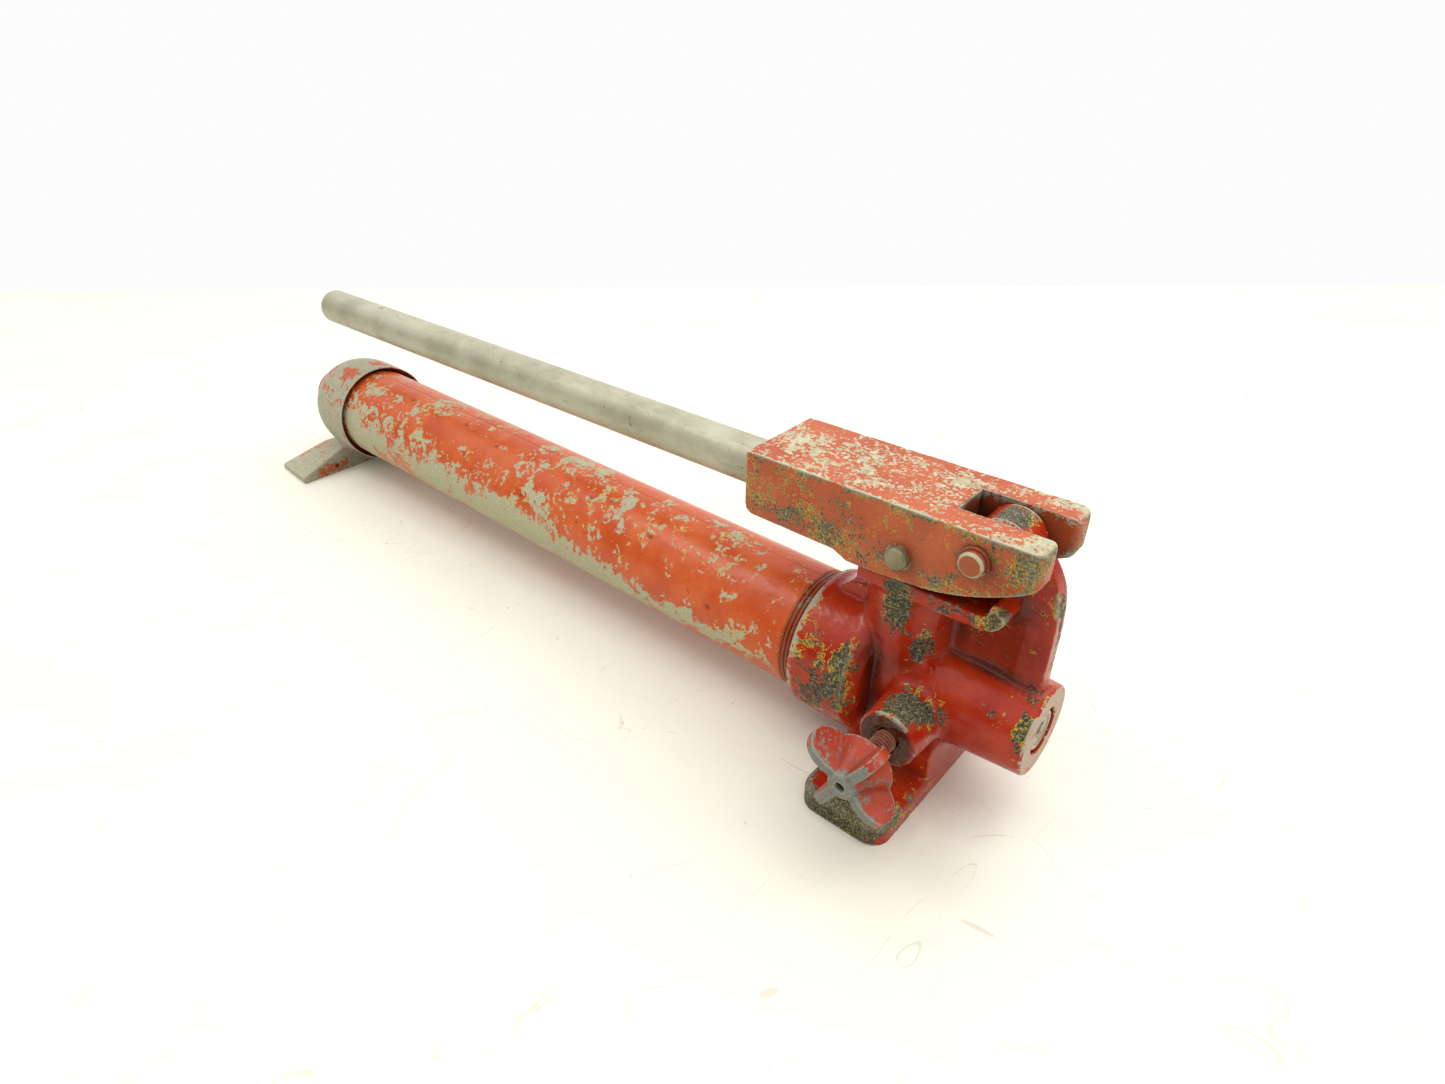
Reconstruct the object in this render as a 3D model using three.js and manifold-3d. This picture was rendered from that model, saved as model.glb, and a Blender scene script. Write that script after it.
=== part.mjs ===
// A single-stage hydraulic hand pump: a cast body with its foot, a pipe reservoir, a domed rear cap
// with its own foot, a lever block with a bar handle, a vertical plunger and a wing-knob release valve.
//
// Millimetres, +Z up, +X towards the outlet port. The origin is on the floor under the front foot, in
// line with its two bolt holes. The pump is symmetric about y = 0, apart from the valves' passages and
// the knob. The handle rises by a positive turn about +Y through the fulcrum pin.

import * as THREE from 'three';
import * as BufferGeometryUtils from 'three/addons/utils/BufferGeometryUtils.js';
import Module from 'manifold-3d';

const wasm = await Module();
wasm.setup();

// ---- driving dimensions -------------------------------------------------------------------------

const GAP = 0.3; // between pieces that touch on the real pump
const FIT = 0.15; // radial clearance of a pin in its hole
const CUT = 1; // how far a cutting tool runs past the face that it opens

const ROUND = 40; // sides of the large round shapes
const SMALL = 24; // sides of pins, bosses and plugs
const FINE = 14; // sides of passages and thin tubes

const AXIS_Z = 41.5; // height of the reservoir's axis

const TUBE_R = 30.15; // 2-inch pipe
const TUBE_WALL = 3.9;
const TUBE_FRONT_X = -29.2;
const TUBE_REAR_X = -456;

const COLLAR_REAR_X = -52.7;
const COLLAR_FRONT_X = -19.7;
const COLLAR_R = 34.7;
const COLLAR_RIM_R = 32.5;
const POCKET_FLOOR_X = -28.7;
const POCKET_R = TUBE_R + GAP;
const SEAL_GROOVE_R = 32.4;
const SEAL_GROOVE_WIDTH = 2.6;
const BODY_SEAL_X = -36.7;

const CAP_RIM_X = -440.3;
const CAP_R = 33.8;
const CAP_DOME_X = -461.9;
const CAP_DOME_LENGTH = 39.2;
const CAP_BORE_R = 26;
const CAP_SEAL_X = -450.7;

const PLUG_HEAD_R = 17.7;
const PLUG_THREAD_R = 9.7;
const PLUG_END_X = -503.4;
const PLUG_THREAD_FRONT_X = -487.5;

const REAR_FOOT_FRONT_X = -461.4;
const REAR_FOOT_BACK_X = -498.7;
const REAR_FOOT_ROOT_Y = 24;

const FOOT_REAR_X = -22.6;
const FOOT_FRONT_X = 19.7;
const FOOT_HALF_WIDTH = 62.3;
const FOOT_THICK = 11.5;
const FOOT_CORNER = 9;
const FOOT_HOLE_R = 4.5;
const FOOT_HOLE_Y = 47;

const PORT_Z = AXIS_Z + 4.7;
const PORT_FACE_X = 54.7;
const PORT_R = 20.6;
const PORT_THREAD_R = 8.3;
const PORT_THREAD_REAR_X = 30;
const PORT_RECESS_X = PORT_FACE_X - 5;
const PORT_RECESS_R = 10.8;
const OUTLET_SEAT_X = 0.5;
const OUTLET_SEAT_R = 2.2;
const OUTLET_BORE_R = 5.2;

const DECK_TOP = AXIS_Z + 61.6;
const DECK_THICK = 6.5;
const DECK_HALF_WIDTH = 21;

const PLUNGER_X = -9.4;
const PLUNGER_R = 6.35;
const PLUNGER_BOSS_R = 20.5;
const PLUNGER_BOTTOM = 40;
const PLUNGER_BORE_R = 6.9;
const INLET_SEAT_Z = 29;
const INLET_SEAT_R = 2.4;
const INLET_LEDGE_Z = 36;
const PACKING_FLOOR = 78;
const GLAND_FLOOR = 88;
const PACKING_R = 10;
const GLAND_R = 12.5;

const VALVE_X = 6.3; // release valve, turning about an axis along Y
const VALVE_BOSS_R = 13.1;
const VALVE_FACE_Y = -43;
const STEM_R = 4.8;
const KNOB_FRONT_Y = -77;
const KNOB_LENGTH = 18;
const KNOB_TURN = 12; // degrees by which the blades have turned past the diagonals
const BLADE_THICK = 4.4;
const RELEASE_SEAT_Y = -12;
const RELEASE_SEAT_R = 1.5;

const FULCRUM_X = 21.5;
const FULCRUM_Z = AXIS_Z + 85.5;
const FULCRUM_PIN_R = 5.25;
const PLUNGER_PIN_Z = AXIS_Z + 74;
const PLUNGER_PIN_R = 5;

const BEAM_HALF_WIDTH = 23.2;
const BEAM_SLOT_HALF = 10;
const BEAM_REAR_X = -87.2;
const BEAM_TIP_X = 46.2;
const BEAM_OUTER_CORNER = 6;
const BEAM_INNER_CORNER = 3.2;
const BEAM_TOP = AXIS_Z + 96.4; // height of the top face above the origin
const BEAM_SLOPE = 0.017; // the block and its handle rise towards the front
const BEAM_POCKET_REAR_X = -22.7;
const BEAM_POCKET_ROOF = 127.5;
const BEAM_SLOT_REAR_X = 6.3;

const HANDLE_R = 11.1; // 7/8-inch bar
const HANDLE_REAR_X = -479.5;
const HANDLE_FRONT_X = -40;
const SPIGOT_R = 9; // the bar's turned-down end in the block
const HANDLE_Z = 120; // height of the handle's axis above the origin, on the sloping line
const ROLL_PIN_X = -62;
const ROLL_PIN_R = 2.5;

const WEB_HALF_THICK = 4.5;
const KNUCKLE_HALF_THICK = 8.5;
const KNUCKLE_X = 24;
const KNUCKLE_Z = 126;
const KNUCKLE_R = 12;

const INLET_Z = 23; // height of the intake tube and its passage
const RELIEF_Y = 11.5;
const RELIEF_Z = 52;
const RELIEF_SEAT_X = -12;
const RELIEF_SEAT_R = 1.2;
const RELIEF_BORE_R = 3.6;
const RETURN_Y = -14; // release valve's way back to the reservoir

// ---- materials ----------------------------------------------------------------------------------

function finish(color, roughness, metalness) {
  return () => new THREE.MeshStandardMaterial({ color, roughness, metalness, flatShading: true });
}

const redPaint = finish(0xa8341f, 0.4, 0);
const wornPaint = finish(0xb5472e, 0.55, 0.1);
const bareCasting = finish(0x8f9486, 0.5, 0.7);
const bareSteel = finish(0x8c8a7c, 0.45, 0.85);
const plainSteel = finish(0xa8a8a2, 0.35, 0.9);
const springSteel = finish(0x77787a, 0.35, 0.9);
const brass = finish(0xb08d4a, 0.4, 0.8);
const rubber = finish(0x1c1c1c, 0.8, 0);

// ---- geometry helpers ---------------------------------------------------------------------------

// Merges shared vertices, drops triangles that have collapsed and turns every face outwards.
function cleaned(geometry) {
  geometry.deleteAttribute('normal');
  geometry.deleteAttribute('uv');
  const merged = BufferGeometryUtils.mergeVertices(geometry, 1e-4);
  const position = merged.getAttribute('position');
  const source = merged.getIndex().array;
  const index = [];
  const a = new THREE.Vector3();
  const b = new THREE.Vector3();
  const c = new THREE.Vector3();
  let volume = 0;
  for (let i = 0; i < source.length; i += 3) {
    const [p, q, r] = [source[i], source[i + 1], source[i + 2]];
    if (p === q || q === r || r === p) continue;
    index.push(p, q, r);
    a.fromBufferAttribute(position, p);
    b.fromBufferAttribute(position, q);
    c.fromBufferAttribute(position, r);
    volume += a.dot(b.cross(c));
  }
  if (volume < 0) index.reverse();
  merged.setIndex(index);
  return merged;
}

function solid(geometry) {
  const shape = cleaned(geometry);
  const vertProperties = new Float32Array(shape.getAttribute('position').array);
  const triVerts = new Uint32Array(shape.getIndex().array);
  return new wasm.Manifold(new wasm.Mesh({ numProp: 3, vertProperties, triVerts }));
}

function joined(...geometries) {
  return geometries.map(solid).reduce((whole, piece) => whole.add(piece));
}

function cut(whole, ...geometries) {
  return geometries.map(solid).reduce((rest, tool) => rest.subtract(tool), whole);
}

function geometryOf(manifold) {
  const mesh = manifold.getMesh();
  const geometry = new THREE.BufferGeometry();
  geometry.setAttribute('position', new THREE.BufferAttribute(new Float32Array(mesh.vertProperties), 3));
  geometry.setIndex(new THREE.BufferAttribute(new Uint32Array(mesh.triVerts), 1));
  return geometry;
}

// A shape turned about an axis. The profile is a list of [distance along the axis, radius].
function turned(axis, segments, profile) {
  const points = profile.map(([along, radius]) => new THREE.Vector2(radius, along));
  const geometry = new THREE.LatheGeometry(points, segments);
  if (axis === 'x') geometry.rotateZ(-Math.PI / 2);
  if (axis === 'z') geometry.rotateX(Math.PI / 2);
  return geometry;
}

function cylinder(axis, segments, from, to, radius) {
  return turned(axis, segments, [[from, 0], [from, radius], [to, radius], [to, 0]]);
}

function chamferedCylinder(axis, segments, from, to, radius, chamfer) {
  const profile = [[from, 0], [from, radius - chamfer], [from + chamfer, radius]];
  profile.push([to - chamfer, radius], [to, radius - chamfer], [to, 0]);
  return turned(axis, segments, profile);
}

function ring(axis, segments, from, to, inner, outer) {
  return turned(axis, segments, [[from, inner], [from, outer], [to, outer], [to, inner], [from, inner]]);
}

function roundSeal(at, radius, section) {
  const geometry = new THREE.TorusGeometry(radius, section, 4, ROUND);
  geometry.rotateY(Math.PI / 2);
  return geometry.translate(at, 0, AXIS_Z);
}

function box(x, y, z) {
  const geometry = new THREE.BoxGeometry(x[1] - x[0], y[1] - y[0], z[1] - z[0]);
  return geometry.translate((x[0] + x[1]) / 2, (y[0] + y[1]) / 2, (z[0] + z[1]) / 2);
}

function shapeOf(points) {
  return new THREE.Shape(points.map(([u, v]) => new THREE.Vector2(u, v)));
}

// A plate standing in the XZ plane, centred on y = 0.
function uprightPlate(shape, halfThick, bevel = 0) {
  const depth = 2 * (halfThick - bevel);
  const options = { depth, curveSegments: 6, bevelEnabled: bevel > 0, bevelSegments: 1 };
  Object.assign(options, { bevelThickness: bevel, bevelSize: bevel, bevelOffset: -bevel });
  const geometry = new THREE.ExtrudeGeometry(shape, options);
  geometry.rotateX(Math.PI / 2);
  return geometry.translate(0, depth / 2, 0);
}

function roundedRectangle(halfX, halfY, corner) {
  const shape = new THREE.Shape();
  shape.moveTo(-halfX + corner, -halfY);
  shape.lineTo(halfX - corner, -halfY);
  shape.absarc(halfX - corner, -halfY + corner, corner, -Math.PI / 2, 0);
  shape.lineTo(halfX, halfY - corner);
  shape.absarc(halfX - corner, halfY - corner, corner, 0, Math.PI / 2);
  shape.lineTo(-halfX + corner, halfY);
  shape.absarc(-halfX + corner, halfY - corner, corner, Math.PI / 2, Math.PI);
  shape.lineTo(-halfX, -halfY + corner);
  shape.absarc(-halfX + corner, -halfY + corner, corner, Math.PI, 1.5 * Math.PI);
  return shape;
}

// A solid between two rings of points, such as a wedge. Both rings run the same way round.
function lofted(near, far) {
  const count = near.length;
  const vertices = [...near, ...far].flat();
  const index = [];
  for (let i = 1; i < count - 1; i += 1) {
    index.push(0, i, i + 1);
    index.push(count, count + i + 1, count + i);
  }
  for (let i = 0; i < count; i += 1) {
    const next = (i + 1) % count;
    index.push(i, count + i, next);
    index.push(next, count + i, count + next);
  }
  const geometry = new THREE.BufferGeometry();
  geometry.setAttribute('position', new THREE.Float32BufferAttribute(vertices, 3));
  geometry.setIndex(index);
  return geometry;
}

// A straight passage between two points.
function drilled(from, to, radius) {
  const start = new THREE.Vector3(...from);
  const way = new THREE.Vector3(...to).sub(start);
  const geometry = new THREE.CylinderGeometry(radius, radius, way.length(), FINE - 2);
  geometry.translate(0, way.length() / 2, 0);
  const turn = new THREE.Quaternion().setFromUnitVectors(new THREE.Vector3(0, 1, 0), way.normalize());
  geometry.applyQuaternion(turn);
  return geometry.translate(...from);
}

class Helix extends THREE.Curve {
  constructor(radius, length, turns) {
    super();
    Object.assign(this, { radius, length, turns });
  }

  getPoint(t) {
    const angle = 2 * Math.PI * this.turns * t;
    const around = [this.radius * Math.cos(angle), this.radius * Math.sin(angle)];
    return new THREE.Vector3(this.length * t, ...around);
  }
}

// A compression spring along +X, from its first coil's centre.
function spring(radius, wire, length, turns) {
  const section = new THREE.Shape();
  section.absarc(0, 0, wire / 2, 0, 2 * Math.PI);
  const extrudePath = new Helix(radius, length, turns);
  const steps = Math.round(turns * 8);
  return new THREE.ExtrudeGeometry(section, { steps, extrudePath, curveSegments: 2, bevelEnabled: false });
}

function ball(radius, x, y, z) {
  return new THREE.SphereGeometry(radius, FINE - 2, 7).translate(x, y, z);
}

// ---- pump body ----------------------------------------------------------------------------------

function collar() {
  const profile = [[COLLAR_REAR_X, 0], [COLLAR_REAR_X, COLLAR_RIM_R]];
  profile.push([COLLAR_REAR_X + 1.2, COLLAR_RIM_R + 1.5], [COLLAR_REAR_X + 4, COLLAR_R]);
  profile.push([COLLAR_FRONT_X - 1.5, COLLAR_R], [COLLAR_FRONT_X, COLLAR_R - 1.5]);
  profile.push([COLLAR_FRONT_X + 3, COLLAR_R - 5], [COLLAR_FRONT_X + 3, 0]);
  return turned('x', ROUND, profile).translate(0, 0, AXIS_Z);
}

// The low cast pad on top of the collar and the gusset that climbs from it to the deck.
function collarPad() {
  const shape = shapeOf([[-44, 60], [-44, 77.5], [-39, 82], [-30, 83.5], [-28, 98], [-14, 98], [-14, 60]]);
  return uprightPlate(shape, 7, 1.5);
}

function core() {
  return box([COLLAR_FRONT_X - 4, 10], [-17.5, 17.5], [16, 66]);
}

function plungerBoss() {
  return cylinder('z', SMALL, 14, DECK_TOP - DECK_THICK / 2, PLUNGER_BOSS_R).translate(PLUNGER_X, 0, 0);
}

function portBoss() {
  const profile = [[-4, 0], [-4, 23.4], [PORT_FACE_X - 34, 22.6], [PORT_FACE_X - 1, PORT_R + 0.1]];
  profile.push([PORT_FACE_X, PORT_R - 0.7], [PORT_FACE_X, 0]);
  return turned('x', ROUND - 8, profile).translate(0, 0, PORT_Z);
}

function valveBoss() {
  const profile = [[VALVE_FACE_Y, 0], [VALVE_FACE_Y, VALVE_BOSS_R - 1.4], [VALVE_FACE_Y + 1.4, VALVE_BOSS_R]];
  profile.push([VALVE_FACE_Y + 26, VALVE_BOSS_R + 1.2], [-10, VALVE_BOSS_R + 1.2], [-10, 0]);
  return turned('y', SMALL, profile).translate(VALVE_X, 0, AXIS_Z);
}

// The flat top that the lever's heel rests on. Its front end rises into a lip, which stops the lever.
function deck() {
  const top = DECK_TOP;
  const points = [[-28.2, top - DECK_THICK], [-28.2, top], [29.2, top], [29.6, top + 4.6], [30.6, top + 6.1]];
  points.push([32, top + 5.7], [33.8, top + 3.2], [35.6, top + 3], [36.8, top + 0.8], [35.6, top - 2]);
  points.push([32.4, top - 4.8], [28, top - 6.2], [22, top - DECK_THICK]);
  return uprightPlate(shapeOf(points), DECK_HALF_WIDTH, 0.8);
}

// The plate that stands over the port boss and carries the fulcrum.
function web() {
  const shape = new THREE.Shape();
  shape.moveTo(8, 50);
  shape.lineTo(51.3, 50);
  shape.lineTo(50.6, 82);
  shape.quadraticCurveTo(50.9, 105, 48.2, 113.5);
  shape.quadraticCurveTo(45.8, 120.5, 39.5, 127);
  shape.quadraticCurveTo(33, 134.5, KNUCKLE_X, KNUCKLE_Z + KNUCKLE_R - 1);
  shape.lineTo(KNUCKLE_X - KNUCKLE_R + 1, KNUCKLE_Z);
  shape.lineTo(KNUCKLE_X - KNUCKLE_R + 1, 103);
  shape.lineTo(8, 96);
  return uprightPlate(shape, WEB_HALF_THICK, 1.2);
}

function knuckle() {
  const [from, to] = [-KNUCKLE_HALF_THICK, KNUCKLE_HALF_THICK];
  return chamferedCylinder('y', SMALL + 4, from, to, KNUCKLE_R, 1.5).translate(KNUCKLE_X, 0, KNUCKLE_Z);
}

function frontFoot() {
  const bevel = 2.5;
  const shape = roundedRectangle((FOOT_FRONT_X - FOOT_REAR_X) / 2, FOOT_HALF_WIDTH, FOOT_CORNER);
  const options = { depth: FOOT_THICK - bevel, curveSegments: 4, bevelEnabled: true, bevelSegments: 2 };
  Object.assign(options, { bevelThickness: bevel, bevelSize: bevel, bevelOffset: -bevel });
  const middle = (FOOT_FRONT_X + FOOT_REAR_X) / 2;
  const plate = solid(new THREE.ExtrudeGeometry(shape, options).translate(middle, 0, 0));
  const width = [-2 * FOOT_HALF_WIDTH, 2 * FOOT_HALF_WIDTH];
  const below = box([2 * FOOT_REAR_X, 2 * FOOT_FRONT_X], width, [-10, 0]);
  return plate.subtract(solid(below));
}

// The block between the foot's plate and the body. Its front face is flush with the foot's.
function pedestal() {
  const left = [[-17, 31], [-24, 27], [-26, 24.5], [-24.5, 12]];
  const shape = shapeOf([[-24, 4], [24, 4], [24.5, 12], [26, 24.5], [24, 27], [17, 31], ...left]);
  const depth = FOOT_FRONT_X - FOOT_REAR_X - 0.6;
  const geometry = new THREE.ExtrudeGeometry(shape, { depth, bevelEnabled: false });
  geometry.rotateX(Math.PI / 2);
  geometry.rotateZ(Math.PI / 2);
  return geometry.translate(FOOT_REAR_X + 0.3, 0, 0);
}

function tubePocket() {
  const pocket = cylinder('x', ROUND, COLLAR_REAR_X - CUT, POCKET_FLOOR_X, POCKET_R);
  return pocket.translate(0, 0, AXIS_Z);
}

function sealGroove(at) {
  const half = SEAL_GROOVE_WIDTH / 2;
  return ring('x', ROUND, at - half, at + half, POCKET_R - CUT, SEAL_GROOVE_R).translate(0, 0, AXIS_Z);
}

function plungerBore() {
  const top = DECK_TOP + CUT;
  const profile = [[INLET_SEAT_Z, 0], [INLET_SEAT_Z, 4.6], [INLET_LEDGE_Z, 4.6]];
  profile.push([INLET_LEDGE_Z, PLUNGER_BORE_R], [PACKING_FLOOR, PLUNGER_BORE_R]);
  profile.push([PACKING_FLOOR, PACKING_R], [GLAND_FLOOR, PACKING_R]);
  profile.push([GLAND_FLOOR, GLAND_R], [top, GLAND_R], [top, 0]);
  return turned('z', SMALL, profile).translate(PLUNGER_X, 0, 0);
}

function intakePassages() {
  const rear = POCKET_FLOOR_X - CUT;
  const throat = cylinder('z', FINE, INLET_Z, INLET_SEAT_Z + CUT, INLET_SEAT_R);
  const passage = cylinder('x', FINE, rear, PLUNGER_X + 2.5, 2.6).translate(0, 0, INLET_Z);
  const socket = cylinder('x', FINE, rear, POCKET_FLOOR_X + 8, 4.3).translate(0, 0, INLET_Z);
  return [throat.translate(PLUNGER_X, 0, 0), passage, socket];
}

function outletCavity() {
  const rear = PLUNGER_X + 4.4;
  const profile = [[rear, 0], [rear, OUTLET_SEAT_R], [OUTLET_SEAT_X, OUTLET_SEAT_R]];
  profile.push([OUTLET_SEAT_X, OUTLET_BORE_R], [PORT_THREAD_REAR_X, OUTLET_BORE_R]);
  profile.push([PORT_THREAD_REAR_X, PORT_THREAD_R], [PORT_RECESS_X, PORT_THREAD_R]);
  profile.push([PORT_RECESS_X, PORT_RECESS_R], [PORT_FACE_X + CUT, PORT_RECESS_R], [PORT_FACE_X + CUT, 0]);
  return turned('x', SMALL, profile).translate(0, 0, PORT_Z);
}

function releaseCavity() {
  const profile = [[VALVE_FACE_Y - CUT, 0], [VALVE_FACE_Y - CUT, 7.2], [VALVE_FACE_Y + 2, 5.1], [-26, 5.1]];
  profile.push([-26, 6.6], [-22.6, 6.6], [-22.6, 5.1], [-20, 5.1], [-20, 3.4], [RELEASE_SEAT_Y, 3.4]);
  profile.push([RELEASE_SEAT_Y, RELEASE_SEAT_R], [-1, RELEASE_SEAT_R], [-1, 0]);
  return turned('y', SMALL, profile).translate(VALVE_X, 0, AXIS_Z);
}

function reliefCavity() {
  const profile = [[POCKET_FLOOR_X - CUT, 0], [POCKET_FLOOR_X - CUT, RELIEF_BORE_R]];
  profile.push([RELIEF_SEAT_X, RELIEF_BORE_R], [RELIEF_SEAT_X, RELIEF_SEAT_R], [5, RELIEF_SEAT_R], [5, 0]);
  return turned('x', FINE, profile).translate(0, RELIEF_Y, RELIEF_Z);
}

function pumpBody() {
  const bosses = joined(collar(), collarPad(), core(), plungerBoss(), portBoss(), valveBoss());
  const whole = bosses.add(joined(deck(), web(), knuckle(), pedestal())).add(frontFoot());
  const fulcrumHole = cylinder('y', SMALL, -20, 20, FULCRUM_PIN_R + FIT).translate(FULCRUM_X, 0, FULCRUM_Z);
  const footHoles = [-FOOT_HOLE_Y, FOOT_HOLE_Y].map((y) => (
    cylinder('z', SMALL, -CUT, FOOT_THICK + CUT, FOOT_HOLE_R).translate(0, y, 0)
  ));
  const returnWay = drilled([POCKET_FLOOR_X - CUT, RETURN_Y, AXIS_Z], [VALVE_X, RETURN_Y, AXIS_Z], 1.6);
  const reliefFeed = drilled([3.5, RELIEF_Y, RELIEF_Z], [3.5, 2, PORT_Z + 1], RELIEF_SEAT_R);
  const tools = [tubePocket(), sealGroove(BODY_SEAL_X), plungerBore(), ...intakePassages(), outletCavity()];
  tools.push(releaseCavity(), reliefCavity(), returnWay, reliefFeed, fulcrumHole, ...footHoles);
  return geometryOf(cut(whole, ...tools));
}

// ---- reservoir ----------------------------------------------------------------------------------

function reservoirTube() {
  const inner = TUBE_R - TUBE_WALL;
  return ring('x', ROUND, TUBE_REAR_X, TUBE_FRONT_X, inner, TUBE_R).translate(0, 0, AXIS_Z);
}

const PLUG_SEAT_X = CAP_DOME_X - CAP_DOME_LENGTH * Math.sqrt(1 - (PLUG_HEAD_R / CAP_R) ** 2);

function capOutside() {
  const profile = [[CAP_RIM_X, 0], [CAP_RIM_X, CAP_R - 0.7], [CAP_RIM_X - 1.2, CAP_R]];
  const steps = 6;
  const lastAngle = Math.acos(PLUG_HEAD_R / CAP_R);
  for (let i = 0; i <= steps; i += 1) {
    const angle = (lastAngle * i) / steps;
    profile.push([CAP_DOME_X - CAP_DOME_LENGTH * Math.sin(angle), CAP_R * Math.cos(angle)]);
  }
  profile.push([PLUG_SEAT_X, 0]);
  return turned('x', ROUND, profile).translate(0, 0, AXIS_Z);
}

// One arm of the foot under the cap on each side, thin at its tips and low at its back edge.
function rearFoot() {
  const root = REAR_FOOT_ROOT_Y;
  const section = (x, tip, tipTop, rootTop) => [
    [x, -tip, 0], [x, tip, 0], [x, tip, tipTop], [x, root, rootTop], [x, -root, rootTop], [x, -tip, tipTop],
  ];
  return lofted(section(REAR_FOOT_FRONT_X, 60.3, 4.4, 19), section(REAR_FOOT_BACK_X, 57.5, 2.8, 9.5));
}

function capInside() {
  const wall = TUBE_REAR_X - GAP;
  const mouthR = POCKET_R + 1.75;
  const profile = [[CAP_RIM_X + CUT, 0], [CAP_RIM_X + CUT, mouthR], [CAP_RIM_X - 4, mouthR]];
  profile.push([CAP_RIM_X - 5, POCKET_R], [wall, POCKET_R], [wall, CAP_BORE_R], [CAP_DOME_X, CAP_BORE_R]);
  profile.push([CAP_DOME_X - 14, 23], [CAP_DOME_X - 22, 15], [CAP_DOME_X - 24.6, 10]);
  profile.push([PLUG_SEAT_X - CUT, 10], [PLUG_SEAT_X - CUT, 0]);
  return turned('x', ROUND, profile).translate(0, 0, AXIS_Z);
}

function rearCap() {
  return geometryOf(cut(joined(capOutside(), rearFoot()), capInside(), sealGroove(CAP_SEAL_X)));
}

function plugGasket() {
  const from = PLUG_SEAT_X - GAP;
  return ring('x', SMALL, from - 1.5, from, PLUG_THREAD_R + GAP, PLUG_HEAD_R - 1).translate(0, 0, AXIS_Z);
}

// The fill plug: a round slotted head and a short thread with a vent passage.
function fillPlug() {
  const headFront = PLUG_SEAT_X - 2 * GAP - 1.5;
  const profile = [[PLUG_END_X, 0], [PLUG_END_X, PLUG_HEAD_R - 1.5], [PLUG_END_X + 1.5, PLUG_HEAD_R]];
  profile.push([headFront, PLUG_HEAD_R], [headFront, PLUG_THREAD_R]);
  profile.push([PLUG_THREAD_FRONT_X, PLUG_THREAD_R], [PLUG_THREAD_FRONT_X, 0]);
  const slot = box([PLUG_END_X - CUT, PLUG_END_X + 2.5], [-20, 20], [AXIS_Z - 1.6, AXIS_Z + 1.6]);
  const vent = cylinder('x', FINE, PLUG_END_X - CUT, PLUG_THREAD_FRONT_X + CUT, 1.5).translate(0, 0, AXIS_Z);
  return geometryOf(cut(joined(turned('x', SMALL, profile).translate(0, 0, AXIS_Z)), slot, vent));
}

// ---- valves and intake --------------------------------------------------------------------------

function intakeTube() {
  return ring('x', FINE, -66, POCKET_FLOOR_X + 8 - GAP, 2.8, 4).translate(0, 0, INLET_Z);
}

// A thimble of gauze closed at its far end, with ribs standing for the wire.
function intakeStrainer() {
  const profile = [[-88, 0], [-88, 6.4], [-61, 6.4], [-61, 4.3], [-66.3, 4.3]];
  profile.push([-66.3, 5.6], [-87, 5.6], [-87, 0]);
  return turned('x', FINE, profile).translate(0, 0, INLET_Z);
}

const INLET_BALL_R = 3.5;
const INLET_BALL_Z = INLET_SEAT_Z + Math.sqrt(INLET_BALL_R ** 2 - INLET_SEAT_R ** 2) + FIT;

function inletBall() {
  return ball(INLET_BALL_R, PLUNGER_X, 0, INLET_BALL_Z);
}

// A washer with a small centre hole that keeps the inlet ball near its seat.
function inletBallRetainer() {
  const from = INLET_LEDGE_Z + GAP;
  return ring('z', SMALL, from, from + 1.3, 1.8, PLUNGER_BORE_R - FIT).translate(PLUNGER_X, 0, 0);
}

const OUTLET_BALL_R = 4;
const OUTLET_BALL_X = OUTLET_SEAT_X + Math.sqrt(OUTLET_BALL_R ** 2 - OUTLET_SEAT_R ** 2) + FIT;

function outletBall() {
  return ball(OUTLET_BALL_R, OUTLET_BALL_X, 0, PORT_Z);
}

function outletSpring() {
  return spring(3.2, 0.9, 11, 4).translate(OUTLET_BALL_X + OUTLET_BALL_R - 0.6, 0, PORT_Z);
}

// A slotted hollow screw behind the outlet spring.
function outletRetainer() {
  const body = ring('x', SMALL, 20, 26, 2, OUTLET_BORE_R - FIT).translate(0, 0, PORT_Z);
  const slot = box([24.5, 27], [-6, 6], [PORT_Z - 0.8, PORT_Z + 0.8]);
  return geometryOf(cut(joined(body), slot));
}

const KEY_R = 4.62; // 8 mm hexagon, across its corners
const KEY_DEPTH = 9;
const PORT_PLUG_FACE_X = PORT_FACE_X - 0.8;
const PORT_PLUG_HEAD_R = 9.6;

// The plug in the outlet port: a threaded shank and a round head, turned by a hexagon key.
function outletPlug() {
  const [rear, head, face] = [PORT_THREAD_REAR_X + 2, PORT_RECESS_X + GAP, PORT_PLUG_FACE_X];
  const [shankR, bevel] = [PORT_THREAD_R - FIT, 0.8];
  const profile = [[rear, 0], [rear, shankR - bevel], [rear + bevel, shankR], [head, shankR]];
  profile.push([head, PORT_PLUG_HEAD_R], [face - bevel, PORT_PLUG_HEAD_R]);
  profile.push([face, PORT_PLUG_HEAD_R - bevel], [face, 0]);
  const plug = turned('x', SMALL, profile).translate(0, 0, PORT_Z);
  const key = new THREE.CylinderGeometry(KEY_R, KEY_R, 2 * KEY_DEPTH, 6).rotateZ(-Math.PI / 2);
  return geometryOf(cut(joined(plug), key.translate(face, 0, PORT_Z)));
}

const RELIEF_BALL_R = 2.4;
const RELIEF_BALL_X = RELIEF_SEAT_X - Math.sqrt(RELIEF_BALL_R ** 2 - RELIEF_SEAT_R ** 2) - FIT;

function reliefBall() {
  return ball(RELIEF_BALL_R, RELIEF_BALL_X, RELIEF_Y, RELIEF_Z);
}

function reliefSpring() {
  const front = RELIEF_BALL_X - RELIEF_BALL_R + 0.4;
  return spring(2.1, 0.8, 7, 3.5).translate(front - 7, RELIEF_Y, RELIEF_Z);
}

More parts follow.
